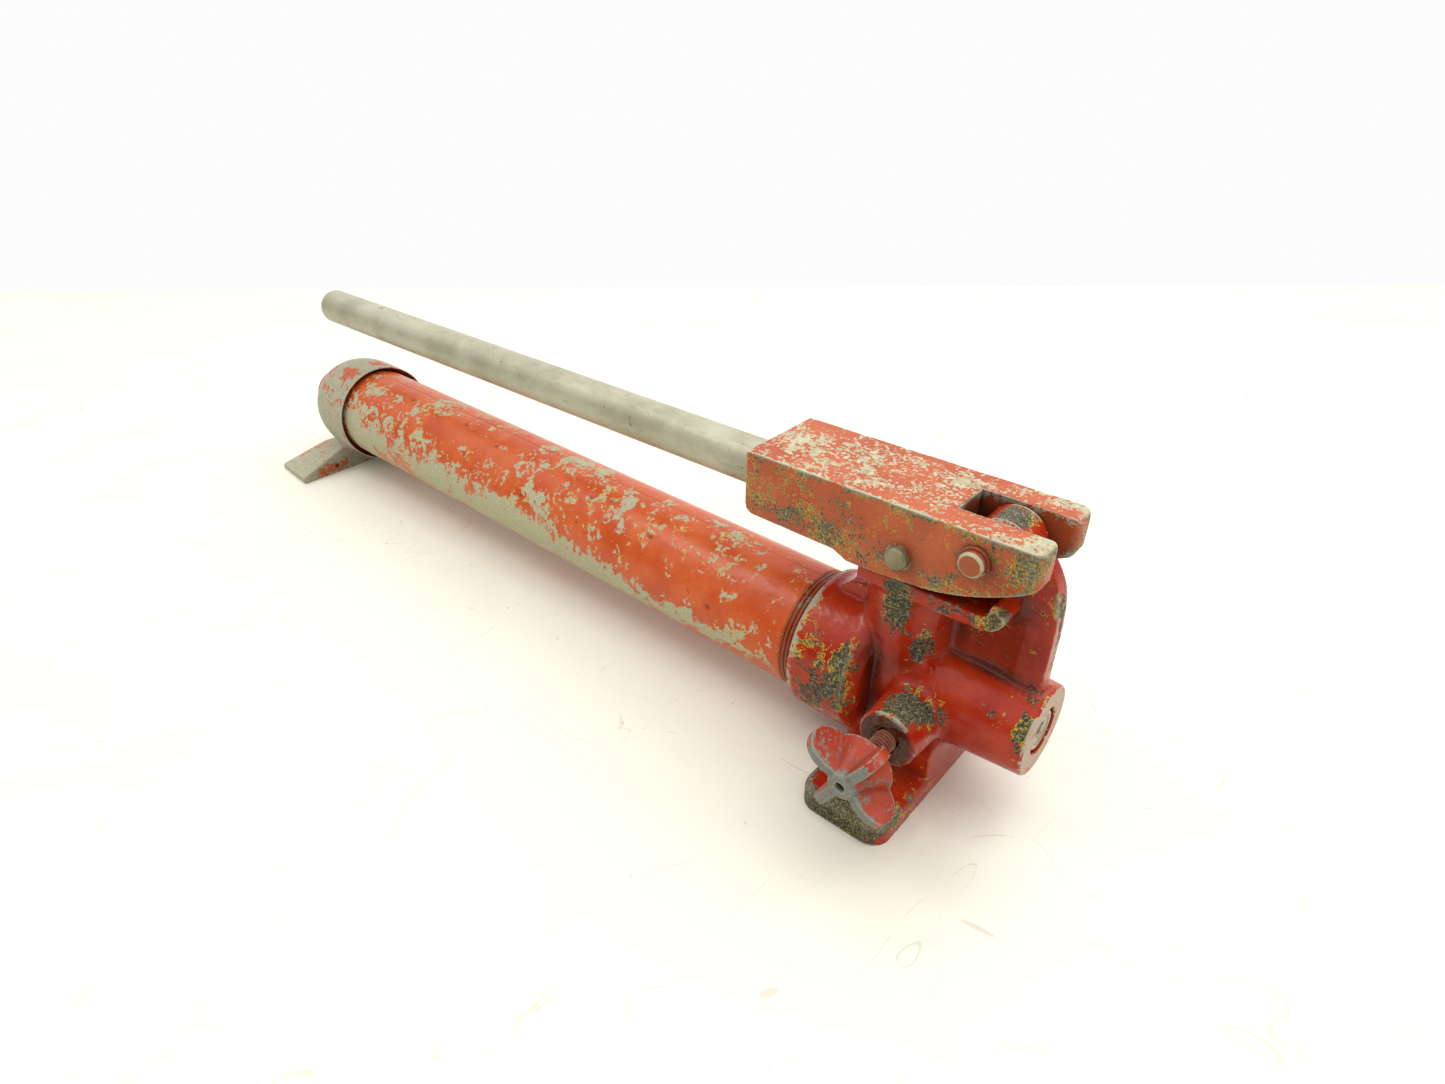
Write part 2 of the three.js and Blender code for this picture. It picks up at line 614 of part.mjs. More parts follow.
function reliefScrew() {
  const body = cylinder('x', FINE, -32.5, -25.4, RELIEF_BORE_R - FIT).translate(0, RELIEF_Y, RELIEF_Z);
  const slot = box([-33.5, -31], [RELIEF_Y - 5, RELIEF_Y + 5], [RELIEF_Z - 0.6, RELIEF_Z + 0.6]);
  return geometryOf(cut(joined(body), slot));
}

// ---- plunger ------------------------------------------------------------------------------------

// The eye is a little longer than the pin, because the pin swings on an arc and the plunger doesn't.
function plunger() {
  const [pinX, pinZ] = [PLUNGER_X, PLUNGER_PIN_Z];
  const eyeClear = PLUNGER_PIN_R + 0.35;
  const head = new THREE.Shape();
  head.absarc(pinX + 1.4, pinZ, 8.6, -Math.PI / 2, Math.PI / 2);
  head.absarc(pinX - 2.8, pinZ, 8.6, Math.PI / 2, 1.5 * Math.PI);
  const eye = new THREE.Shape();
  eye.absarc(pinX + 0.9, pinZ, eyeClear, -Math.PI / 2, Math.PI / 2);
  eye.absarc(pinX - 2.4, pinZ, eyeClear, Math.PI / 2, 1.5 * Math.PI);
  const rod = chamferedCylinder('z', SMALL, PLUNGER_BOTTOM, pinZ - 5, PLUNGER_R, 0.8);
  rod.translate(PLUNGER_X, 0, 0);
  return geometryOf(cut(joined(rod, uprightPlate(head, 8, 0.8)), uprightPlate(eye, 12)));
}

function plungerPacking() {
  const [low, high, inner, outer] = [PACKING_FLOOR + GAP, 84.2, PLUNGER_R + FIT, PACKING_R - FIT];
  const profile = [[low, inner], [low, outer], [high, outer], [high, outer - 1], [high - 2.5, outer - 1.4]];
  profile.push([high - 2.5, inner + 1.4], [high, inner + 1], [high, inner], [low, inner]);
  return turned('z', SMALL, profile).translate(PLUNGER_X, 0, 0);
}

function backupWasher() {
  return ring('z', SMALL, 84.5, 86.4, PLUNGER_R + FIT, PACKING_R - FIT).translate(PLUNGER_X, 0, 0);
}

function glandNut() {
  const [low, top, inner] = [86.7, DECK_TOP - 0.4, PLUNGER_R + FIT];
  const profile = [[low, inner], [low, PACKING_R - FIT], [GLAND_FLOOR + GAP, PACKING_R - FIT]];
  profile.push([GLAND_FLOOR + GAP, GLAND_R - FIT], [top - 0.8, GLAND_R - FIT], [top, GLAND_R - 0.8]);
  profile.push([top, inner], [low, inner]);
  const nut = joined(turned('z', SMALL, profile).translate(PLUNGER_X, 0, 0));
  const slotX = box([PLUNGER_X - 20, PLUNGER_X + 20], [-1.4, 1.4], [top - 2.5, top + CUT]);
  const slotY = box([PLUNGER_X - 1.4, PLUNGER_X + 1.4], [-20, 20], [top - 2.5, top + CUT]);
  return geometryOf(cut(nut, slotX, slotY));
}

// ---- release valve ------------------------------------------------------------------------------

const RELEASE_BALL_R = 2.8;
const RELEASE_BALL_Y = RELEASE_SEAT_Y - Math.sqrt(RELEASE_BALL_R ** 2 - RELEASE_SEAT_R ** 2) - FIT;

function releaseBall() {
  return ball(RELEASE_BALL_R, VALVE_X, RELEASE_BALL_Y, AXIS_Z);
}

function releaseStem() {
  const tip = RELEASE_BALL_Y - RELEASE_BALL_R - 0.2;
  const knobEnd = KNOB_FRONT_Y + 5;
  const profile = [[knobEnd, 0], [knobEnd, STEM_R], [-27, STEM_R], [-26, 4], [-22.6, 4], [-21.6, STEM_R]];
  profile.push([-20.4, STEM_R], [-20.4, 3.1], [tip, 3.1], [tip, 0]);
  return turned('y', SMALL, profile).translate(VALVE_X, 0, AXIS_Z);
}

function releaseSeal() {
  const geometry = new THREE.TorusGeometry(5.3, 0.95, 4, SMALL);
  geometry.rotateX(Math.PI / 2);
  return geometry.translate(VALVE_X, -24.3, AXIS_Z);
}

// One wing of the knob, in a plane through its axis. The outline is drawn as radius and length.
function blade(angle) {
  const shape = new THREE.Shape();
  shape.moveTo(3, KNOB_LENGTH - 1);
  shape.lineTo(3, 0.2);
  shape.lineTo(14, 0);
  shape.bezierCurveTo(19.4, 0.4, 22.5, 3.8, 22.4, 8.4);
  shape.bezierCurveTo(22.3, 13.2, 18.6, 16.8, 12.5, KNOB_LENGTH);
  const bevel = 0.9;
  const options = { depth: BLADE_THICK - 2 * bevel, curveSegments: 6, bevelEnabled: true, bevelSegments: 1 };
  Object.assign(options, { bevelThickness: bevel, bevelSize: bevel, bevelOffset: -bevel });
  const geometry = new THREE.ExtrudeGeometry(shape, options).translate(0, 0, bevel - BLADE_THICK / 2);
  geometry.rotateY(-angle);
  return geometry;
}

// A bell-shaped hub with four blades. It turns with the stem, and a small hole opens in its face.
function releaseKnob() {
  const hub = turned('y', SMALL, [
    [0, 0], [0, 5.8], [0.8, 6.6], [4, 7], [8, 8.4], [12, 10.7], [15, 13], [16.4, 14.1], [17.4, 13.6],
    [KNOB_LENGTH - 0.2, 10], [KNOB_LENGTH, 7.4], [KNOB_LENGTH, 0],
  ]);
  const first = THREE.MathUtils.degToRad(45 + KNOB_TURN);
  const blades = [0, 1, 2, 3].map((i) => blade(first + (i * Math.PI) / 2));
  const stemHole = cylinder('y', SMALL, 5 - GAP, KNOB_LENGTH + CUT, STEM_R + FIT);
  const faceHole = cylinder('y', FINE, -CUT, 6, 1.6);
  const knob = cut(joined(hub, ...blades), stemHole, faceHole);
  return geometryOf(knob).translate(VALVE_X, KNOB_FRONT_Y, AXIS_Z);
}

// ---- lever --------------------------------------------------------------------------------------

function beamTopAt(x) {
  return BEAM_TOP + BEAM_SLOPE * x;
}

function beamOutline() {
  const shape = new THREE.Shape();
  shape.moveTo(BEAM_REAR_X, beamTopAt(BEAM_REAR_X) - 1);
  shape.lineTo(BEAM_REAR_X + 1, beamTopAt(BEAM_REAR_X));
  shape.lineTo(BEAM_TIP_X - 3.4, beamTopAt(BEAM_TIP_X));
  shape.lineTo(BEAM_TIP_X - 1.1, beamTopAt(BEAM_TIP_X) - 1.1);
  shape.lineTo(BEAM_TIP_X, beamTopAt(BEAM_TIP_X) - 3.4);
  shape.lineTo(BEAM_TIP_X, 126);
  shape.quadraticCurveTo(BEAM_TIP_X, 122.4, 42.5, 121.2);
  shape.quadraticCurveTo(20, 107.5, -1, 105.5);
  shape.quadraticCurveTo(-15, 103.8, -25.7, 103.5);
  shape.lineTo(-33, 103.2);
  shape.lineTo(-39.7, 106.2);
  shape.lineTo(-82, 106.2);
  shape.quadraticCurveTo(BEAM_REAR_X, 106.2, BEAM_REAR_X, 111.4);
  return shape;
}

function rollPinBore(top) {
  return cylinder('z', FINE, 100, top, ROLL_PIN_R + FIT).translate(ROLL_PIN_X, 0, 0);
}

function tiltedAboutHandle(geometry) {
  geometry.rotateY(-Math.atan(BEAM_SLOPE));
  return geometry.translate(0, 0, HANDLE_Z);
}

// A cutting tool that rounds a vertical corner of an arm's tip. The side is +1 or -1 along Y.
function tipCorner(y, side, radius) {
  const [u, v] = [BEAM_TIP_X - radius, y - side * radius];
  const points = [[u, y + side * CUT], [BEAM_TIP_X + CUT, y + side * CUT], [BEAM_TIP_X + CUT, v]];
  for (let i = 0; i <= 4; i += 1) {
    const angle = (i * Math.PI) / 8;
    points.push([u + radius * Math.cos(angle), v + side * radius * Math.sin(angle)]);
  }
  return new THREE.ExtrudeGeometry(shapeOf(points), { depth: 50, bevelEnabled: false }).translate(0, 0, 100);
}

function beam() {
  const block = solid(uprightPlate(beamOutline(), BEAM_HALF_WIDTH, 1.2));
  const slotWidth = [-BEAM_SLOT_HALF, BEAM_SLOT_HALF];
  const pocket = box([BEAM_POCKET_REAR_X, BEAM_TIP_X + CUT], slotWidth, [90, BEAM_POCKET_ROOF]);
  const slot = box([BEAM_SLOT_REAR_X, BEAM_TIP_X + CUT], slotWidth, [100, 150]);
  const rodBore = cylinder('x', SMALL, BEAM_REAR_X - 5, HANDLE_FRONT_X + 0.5, SPIGOT_R + FIT);
  const fulcrumHole = cylinder('y', SMALL, -30, 30, FULCRUM_PIN_R + FIT).translate(FULCRUM_X, 0, FULCRUM_Z);
  const plungerHole = cylinder('y', SMALL, -30, 30, PLUNGER_PIN_R + FIT);
  plungerHole.translate(PLUNGER_X, 0, PLUNGER_PIN_Z);
  const tools = [pocket, slot, tiltedAboutHandle(rodBore), fulcrumHole, plungerHole, rollPinBore(130)];
  for (const side of [-1, 1]) {
    tools.push(tipCorner(side * BEAM_HALF_WIDTH, side, BEAM_OUTER_CORNER));
    tools.push(tipCorner(side * BEAM_SLOT_HALF, -side, BEAM_INNER_CORNER));
  }
  return geometryOf(cut(block, ...tools));
}

function handleRod() {
  const shoulder = BEAM_REAR_X - 0.5;
  const profile = [[HANDLE_REAR_X, 0], [HANDLE_REAR_X, HANDLE_R - 1.6], [HANDLE_REAR_X + 1.6, HANDLE_R]];
  profile.push([shoulder, HANDLE_R], [shoulder, SPIGOT_R], [HANDLE_FRONT_X, SPIGOT_R], [HANDLE_FRONT_X, 0]);
  const rod = tiltedAboutHandle(turned('x', SMALL, profile));
  return geometryOf(cut(joined(rod), rollPinBore(130 + FIT)));
}

// The slit spring pin that holds the bar in the block, driven in from below.
function rollPin() {
  const body = ring('z', FINE, 106.6, 129.6, ROLL_PIN_R - 1, ROLL_PIN_R).translate(ROLL_PIN_X, 0, 0);
  return geometryOf(cut(joined(body), box([ROLL_PIN_X, ROLL_PIN_X + 4], [-0.4, 0.4], [100, 135])));
}

function fulcrumPin() {
  return chamferedCylinder('y', SMALL, -27.7, 27.7, FULCRUM_PIN_R, 0.8).translate(FULCRUM_X, 0, FULCRUM_Z);
}

function plungerPin() {
  const pin = chamferedCylinder('y', SMALL, -26.7, 26.7, PLUNGER_PIN_R, 0.7);
  return pin.translate(PLUNGER_X, 0, PLUNGER_PIN_Z);
}

// A snap ring on the fulcrum pin, outside one arm of the block. Its opening faces forwards and down.
function fulcrumRing(side) {
  const inner = side * (BEAM_HALF_WIDTH + GAP);
  const [from, to] = [inner, inner + side * 1.5].sort((a, b) => a - b);
  const whole = ring('y', SMALL, from, to, FULCRUM_PIN_R + FIT, 6.6);
  const opening = box([4, 9], [-40, 40], [-1.2, 1.2]).rotateY(Math.PI / 4);
  return geometryOf(cut(joined(whole), opening)).translate(FULCRUM_X, 0, FULCRUM_Z);
}

// ---- assembly -----------------------------------------------------------------------------------

const pump = new THREE.Group();

function add(parent, name, geometry, material) {
  const mesh = new THREE.Mesh(cleaned(geometry), material());
  mesh.name = name;
  parent.add(mesh);
}

const housing = new THREE.Group();
add(housing, 'pump_body', pumpBody(), redPaint);
add(housing, 'reservoir_tube', reservoirTube(), wornPaint);
add(housing, 'body_seal_ring', roundSeal(BODY_SEAL_X, 31.35, 0.7), rubber);
add(housing, 'rear_cap', rearCap(), bareCasting);
add(housing, 'cap_seal_ring', roundSeal(CAP_SEAL_X, 31.35, 0.7), rubber);
add(housing, 'fill_plug_gasket', plugGasket(), rubber);
add(housing, 'fill_plug', fillPlug(), redPaint);
pump.add(housing);

const valves = new THREE.Group();
add(valves, 'intake_tube', intakeTube(), brass);
add(valves, 'intake_strainer', intakeStrainer(), brass);
add(valves, 'inlet_check_ball', inletBall(), plainSteel);
add(valves, 'inlet_ball_retainer', inletBallRetainer(), plainSteel);
add(valves, 'outlet_check_ball', outletBall(), plainSteel);
add(valves, 'outlet_check_spring', outletSpring(), springSteel);
add(valves, 'outlet_spring_retainer', outletRetainer(), plainSteel);
add(valves, 'outlet_port_plug', outletPlug(), plainSteel);
add(valves, 'relief_ball', reliefBall(), plainSteel);
add(valves, 'relief_spring', reliefSpring(), springSteel);
add(valves, 'relief_adjusting_screw', reliefScrew(), plainSteel);
pump.add(valves);

const release = new THREE.Group();
add(release, 'release_ball', releaseBall(), plainSteel);
add(release, 'release_stem_seal', releaseSeal(), rubber);
add(release, 'release_stem', releaseStem(), bareSteel);
add(release, 'release_knob', releaseKnob(), bareCasting);
pump.add(release);

const plungerGroup = new THREE.Group();
add(plungerGroup, 'plunger', plunger(), plainSteel);
add(plungerGroup, 'plunger_packing', plungerPacking(), rubber);
add(plungerGroup, 'packing_backup_washer', backupWasher(), brass);
add(plungerGroup, 'gland_nut', glandNut(), bareSteel);
pump.add(plungerGroup);

const lever = new THREE.Group();
add(lever, 'lever_block', beam(), wornPaint);
add(lever, 'handle_rod', handleRod(), bareSteel);
add(lever, 'handle_roll_pin', rollPin(), springSteel);
add(lever, 'fulcrum_pin', fulcrumPin(), bareSteel);
add(lever, 'plunger_pin', plungerPin(), bareSteel);
add(lever, 'fulcrum_ring_near', fulcrumRing(-1), springSteel);
add(lever, 'fulcrum_ring_far', fulcrumRing(1), springSteel);
pump.add(lever);

export default pump;
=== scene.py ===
"""The looks of a worn red hydraulic hand pump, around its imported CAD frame."""

import math

import bmesh
import bpy
import numpy as np
from mathutils import Matrix, Vector


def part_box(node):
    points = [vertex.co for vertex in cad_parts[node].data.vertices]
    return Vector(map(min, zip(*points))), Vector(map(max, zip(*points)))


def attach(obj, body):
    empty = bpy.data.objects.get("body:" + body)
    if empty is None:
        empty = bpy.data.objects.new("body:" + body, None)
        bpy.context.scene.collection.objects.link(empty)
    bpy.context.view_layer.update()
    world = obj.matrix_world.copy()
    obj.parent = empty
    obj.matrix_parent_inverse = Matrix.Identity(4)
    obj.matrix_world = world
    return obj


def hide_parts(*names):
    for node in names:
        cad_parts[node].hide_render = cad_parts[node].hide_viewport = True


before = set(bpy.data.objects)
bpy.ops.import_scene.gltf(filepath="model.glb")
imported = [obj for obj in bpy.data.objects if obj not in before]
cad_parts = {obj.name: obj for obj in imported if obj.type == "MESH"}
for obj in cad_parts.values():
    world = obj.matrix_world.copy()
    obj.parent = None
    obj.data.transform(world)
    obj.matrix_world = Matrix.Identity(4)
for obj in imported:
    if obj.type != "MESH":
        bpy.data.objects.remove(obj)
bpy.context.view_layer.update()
MM = 0.001

# ---- the pump's dimensions, in millimetres, as the CAD has them ----

GAP = 0.3
FIT = 0.15
AXIS_Z = 41.5
TUBE_R, TUBE_WALL = 30.15, 3.9
TUBE_FRONT, TUBE_REAR = -29.2, -456.0
COLLAR_REAR, COLLAR_FRONT, COLLAR_R = -52.7, -19.7, 34.7
POCKET_FLOOR, POCKET_R = -28.7, 30.45
CAP_RIM, CAP_R, CAP_DOME, CAP_DOME_LENGTH = -440.3, 33.8, -461.9, 39.2
PLUG_HEAD_R, PLUG_END = 17.7, -503.4
FOOT_REAR, FOOT_FRONT, FOOT_HALF, FOOT_THICK = -22.6, 19.7, 62.3, 11.5
PORT_Z, PORT_FACE, PORT_R, RECESS_R, RECESS_DEPTH = 46.2, 54.7, 20.6, 10.8, 5.0
DECK_TOP, DECK_THICK, DECK_HALF = 103.1, 6.5, 21.0
PLUNGER_X, PLUNGER_R, PLUNGER_BOSS_R = -9.4, 6.35, 20.5
VALVE_X, VALVE_BOSS_R, VALVE_FACE = 6.3, 13.1, -43.0
STEM_R, KNOB_FRONT, KNOB_LENGTH, KNOB_TURN, BLADE = 4.8, -77.0, 18.0, 12.0, 4.4
FULCRUM_X, FULCRUM_Z, FULCRUM_R = 21.5, 127.0, 5.25
PIN_Z, PIN_R = 115.5, 5.0
BEAM_HALF, BEAM_SLOT, BEAM_REAR, BEAM_TIP = 23.2, 10.0, -87.2, 46.2
BEAM_TOP, BEAM_SLOPE = 137.9, 0.017
HANDLE_R, HANDLE_REAR, HANDLE_FRONT, HANDLE_Z, SPIGOT_R = 11.1, -479.5, -40.0, 120.0, 9.0
WEB_HALF, KNUCKLE_HALF, KNUCKLE_X, KNUCKLE_Z, KNUCKLE_R = 4.5, 8.5, 24.0, 126.0, 12.0
BOLT_Y, INTAKE_Z, RELIEF_Y, RELIEF_Z = 47.0, 23.0, 11.5, 52.0
ROLL_PIN_X, ROLL_PIN_HOLE_R = -62.0, 2.65
TUBE_AXIS, PORT_AXIS = (0, 0, AXIS_Z), (0, 0, PORT_Z)
VALVE_AXIS, PLUNGER_AXIS = (VALVE_X, 0, AXIS_Z), (PLUNGER_X, 0, 0)


def pick(full):
    return full


# ---- outlines ----


def bend(a, b, c, steps=14):
    """Points along a quadratic curve from a to c, which leans towards b."""
    t = np.linspace(0, 1, steps + 1)[:, None]
    a, b, c = np.array(a), np.array(b), np.array(c)
    return [tuple(p) for p in (1 - t) ** 2 * a + 2 * t * (1 - t) * b + t**2 * c]


def arc(u, v, radius, start, end, steps=12):
    """Points round a centre, with the angles in degrees."""
    turns = np.radians(np.linspace(start, end, steps + 1))
    return [(u + radius * math.cos(t), v + radius * math.sin(t)) for t in turns]


def refined(profile, step=1.2):
    """The same profile with points no further apart than a step."""
    out = [profile[0]]
    for a, b in zip(profile, profile[1:]):
        count = max(1, math.ceil(math.dist(a, b) / step))
        out += [tuple(np.array(a) + (np.array(b) - np.array(a)) * k / count) for k in range(1, count + 1)]
    return out


def rounded(profile, radius, steps=4):
    """The profile with its inner corners rounded off."""
    out = [profile[0]]
    for a, b, c in zip(profile, profile[1:], profile[2:]):
        a, b, c = (np.array(p, float) for p in (a, b, c))
        reach = min(radius, np.linalg.norm(a - b) * 0.45, np.linalg.norm(c - b) * 0.45)
        start = b + (a - b) / np.linalg.norm(a - b) * reach
        end = b + (c - b) / np.linalg.norm(c - b) * reach
        out += bend(start, b, end, steps)
    return out + [profile[-1]]


# ---- closed bodies, as lists of points and faces ----

TURNS = {"x": (0, 1, 2), "y": (2, 0, 1), "z": (1, 2, 0)}


def lathe(axis, sides, profile, at=(0, 0, 0), lift=None):
    """A body of revolution about an axis, from (distance along, radius) pairs. lift may move each ring's
    radii.
    """
    ring = tuple(profile[0]) == tuple(profile[-1])
    rows, points = [], []
    turns = np.arange(sides) * 2 * math.pi / sides
    for along, radius in profile[:-1] if ring else profile:
        if radius < 1e-6:
            rows.append([len(points)])
            points.append((along, 0, 0))
            continue
        radii = radius + (lift(along, turns) if lift else 0 * turns)
        rows.append(list(range(len(points), len(points) + sides)))
        points += list(zip([along] * sides, radii * np.cos(turns), radii * np.sin(turns)))
    faces = []
    for a, b in zip(rows, rows[1:] + (rows[:1] if ring else [])):
        for i in range(sides):
            j = (i + 1) % sides
            if len(a) > 1 and len(b) > 1:
                faces.append((a[i], b[i], b[j], a[j]))
            elif len(b) > 1:
                faces.append((a[0], b[i], b[j]))
            elif len(a) > 1:
                faces.append((a[i], b[0], a[j]))
    order = TURNS[axis]
    return [tuple(np.array([p[k] for k in order]) + np.array(at)) for p in points], faces


def stack(rings):
    """A body through rings of as many points each, with flat ends."""
    count = len(rings[0])
    points = [p for ring in rings for p in ring]
    faces = [tuple(range(count)), tuple(range(len(points) - count, len(points)))]
    for k in range(len(rings) - 1):
        for i in range(count):
            j = (i + 1) % count
            faces.append((k * count + i, k * count + j, (k + 1) * count + j, (k + 1) * count + i))
    return points, faces


def plate(outline, y):
    """An upright plate from an outline of (x, z) points."""
    return stack([[(u, y[0], v) for u, v in outline], [(u, y[1], v) for u, v in outline]])


def slab(outline, z):
    """A lying plate from an outline of (x, y) points."""
    return stack([[(u, v, z[0]) for u, v in outline], [(u, v, z[1]) for u, v in outline]])


def box(x, y, z):
    """A block between two x, two y and two z."""
    return slab([(x[0], y[0]), (x[1], y[0]), (x[1], y[1]), (x[0], y[1])], z)


def rod(axis, sides, start, end, radius, at=(0, 0, 0)):
    """A round bar along an axis."""
    return lathe(axis, sides, [(start, 0), (start, radius), (end, radius), (end, 0)], at)


def ring(axis, sides, start, end, inner, outer, at=(0, 0, 0)):
    """A flat ring about an axis."""
    profile = [(start, inner), (start, outer), (end, outer), (end, inner), (start, inner)]
    return lathe(axis, sides, refined(profile, 0.8), at)


# ---- meshes ----


def mesh_of(*bodies):
    """One mesh in metres from closed bodies in millimetres."""
    points, faces = [], []
    for more_points, more_faces in bodies:
        faces += [tuple(i + len(points) for i in face) for face in more_faces]
        points += [tuple(float(c) * MM for c in p) for p in more_points]
    mesh = bpy.data.meshes.new("piece")
    mesh.from_pydata(points, [], faces)
    work = bmesh.new()
    work.from_mesh(mesh)
    bmesh.ops.remove_doubles(work, verts=work.verts, dist=1e-7)
    bmesh.ops.recalc_face_normals(work, faces=work.faces)
    work.to_mesh(mesh)
    work.free()
    return mesh


def object_of(name, mesh):
    piece = bpy.data.objects.new(name, mesh)
    bpy.context.scene.collection.objects.link(piece)
    return piece


def made(name, *bodies):
    """A new piece from closed bodies."""
    return object_of(name, mesh_of(*bodies))


def applied(piece):
    """Turns the piece's modifiers into its mesh."""
    graph = bpy.context.evaluated_depsgraph_get()
    old = piece.data
    baked = bpy.data.meshes.new_from_object(piece.evaluated_get(graph))
    piece.modifiers.clear()
    piece.data = baked
    bpy.data.meshes.remove(old)
    return piece


def coordinates(mesh, name="vertices"):
    """The points' places, or their normals."""
    values = np.zeros(len(mesh.vertices) * 3, np.float32)
    if name == "vertices":
        mesh.vertices.foreach_get("co", values)
    else:
        mesh.vertex_normals.foreach_get("vector", values)
    return values.reshape(-1, 3).astype(float)


def neighbours(mesh):
    """The two point numbers of each edge."""
    pairs = np.zeros(len(mesh.edges) * 2, np.int32)
    mesh.edges.foreach_get("vertices", pairs)
    return pairs.reshape(-1, 2)


def spread(values, pairs):
    """Each point's mean over its neighbours."""
    count = len(values)
    degree = np.maximum(np.bincount(pairs.ravel(), minlength=count), 1)
    columns = values.reshape(count, -1)
    sums = [
        np.bincount(pairs[:, 0], columns[pairs[:, 1], k], count)
        + np.bincount(pairs[:, 1], columns[pairs[:, 0], k], count)
        for k in range(columns.shape[1])
    ]
    return (np.stack(sums, 1) / degree[:, None]).reshape(values.shape)


def cast(piece, size, fillet=0, smooth=4):
    """Melts overlapping bodies into one skin, fills its inner corners and softens its edges."""
    melt = piece.modifiers.new("melt", "REMESH")
    melt.mode, melt.voxel_size = "VOXEL", size * MM
    applied(piece)
    mesh = piece.data
    pairs, points = neighbours(mesh), coordinates(mesh)
    for k in range(fillet):
        if k % 4 == 0:
            mesh.vertices.foreach_set("co", points.astype(np.float32).ravel())
            mesh.update()
            normals = coordinates(mesh, "normals")
        out = ((spread(points, pairs) - points) * normals).sum(1)
        points += normals * (np.clip(out, 0, None) * 0.9)[:, None]
    for _ in range(smooth):
        points += (spread(points, pairs) - points) * 0.5
    mesh.vertices.foreach_set("co", points.astype(np.float32).ravel())
    mesh.update()
    return piece


def subdivided(piece, longest=3.0):
    """Splits a cut piece's long faces, so that its wear can vary across them."""
    work = bmesh.new()
    work.from_mesh(piece.data)
    limit = longest * MM
    long_faces = [face for face in work.faces if any(edge.calc_length() > limit for edge in face.edges)]
    bmesh.ops.triangulate(work, faces=long_faces)
    for _ in range(7):
        long_edges = [edge for edge in work.edges if edge.calc_length() > limit]
        if not long_edges:
            break
        bmesh.ops.subdivide_edges(work, edges=long_edges, cuts=1)
        bmesh.ops.triangulate(work, faces=[face for face in work.faces if len(face.verts) > 4])
    work.to_mesh(piece.data)
    work.free()
    return piece


def carved(piece, *bodies):
    """Cuts each body out of the piece."""
    for body in bodies:
        tool = made("tool", body)
        cut = piece.modifiers.new("cut", "BOOLEAN")
        cut.operation, cut.object, cut.solver = "DIFFERENCE", tool, "MANIFOLD"
        applied(piece)
        bpy.data.objects.remove(tool)
    return subdivided(piece)


REACH = 1.25
# The second gain turns creases and hollows into painted shade.
EDGE_GAIN, CREASE_SHADE_GAIN = 5, 8
FACING_UP = (0.65, 0.9)


def set_attribute(mesh, name, values, domain="POINT"):
    """Stores one number for each point, or for each face."""
    attribute = mesh.attributes.new(name, "FLOAT", domain)
    attribute.data.foreach_set("value", np.asarray(values, np.float32))


def near(points, zones):
    """How deep each point lies in a list of zones, each a centre, three radii and an amount.

    A zone has its full amount within a quarter of its radii, and fades to nothing at REACH times them.
    """
    total = np.zeros(len(points))
    for centre, radii, amount in zones:
        away = np.linalg.norm((points / MM - np.array(centre)) / np.array(radii), axis=1)
        total += amount * np.clip(REACH - away, 0, 1)
    return total


def both_sides(*zones):
    """Each zone and its mirror image across the pump's middle plane."""
    return [((x, y * side, z), radii, amount) for (x, y, z), radii, amount in zones for side in (1, -1)]


def bulge_of(points, pairs, normals):
    """How far each point stands out from its neighbours, as a share of the distance to them."""
    count = len(points)
    length = np.linalg.norm(points[pairs[:, 0]] - points[pairs[:, 1]], axis=1)
    around = np.bincount(pairs[:, 0], length, count) + np.bincount(pairs[:, 1], length, count)
    around /= np.maximum(np.bincount(pairs.ravel(), minlength=count), 1)
    bulge = -((spread(points, pairs) - points) * normals).sum(1) / np.maximum(around, 1e-9)
    return spread(bulge, pairs)


def finished(
    piece, body, material, replaces,
    base=0.0, rim=0.0, zones=(), shade_zones=(), machined_and_shaded=None, rubbed=0.0, angle=38,
):
    """Gives a piece its wear, finish and place in the frame.

    base is how worn it is all over, rim how much more its edges are, and the zones add to both. The shade
    zones are darkened as painted shade, and so are creases and hollows. The face picker chooses faces from
    their centres and normals: the machined faces, and on the cap its mouth, coloured as painted shade. rubbed
    is how far the top faces are rubbed smooth rather than chipped.
    """
    mesh = piece.data
    pairs, points, normals = neighbours(mesh), coordinates(mesh), coordinates(mesh, "normals")
    bulge = bulge_of(points, pairs, normals)
    edge = np.clip(bulge * EDGE_GAIN, 0, 1)
    # Painted shade: the shade zones, plus a darkening of creases and hollows.
    shade_amount = near(points, shade_zones) + np.clip(-bulge * CREASE_SHADE_GAIN, 0, 1)
    set_attribute(mesh, "edge", edge)
    set_attribute(mesh, "rubbed", rubbed * np.interp(normals[:, 2], FACING_UP, (0, 1)))
    set_attribute(mesh, "wear", base + rim * edge + near(points, zones))
    set_attribute(mesh, "painted_shade", np.clip(shade_amount, 0, 1))
    if machined_and_shaded:
        faces = np.array([[*face.center, *face.normal] for face in mesh.polygons]) / ([MM] * 3 + [1] * 3)
        set_attribute(mesh, "machined_and_shaded", machined_and_shaded(faces), "FACE")
    mesh.polygons.foreach_set("use_smooth", [True] * len(mesh.polygons))
    mesh.set_sharp_from_angle(angle=math.radians(angle))
    mesh.materials.clear()
    mesh.materials.append(material)
    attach(piece, body)
    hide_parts(*replaces)


# ---- materials ----


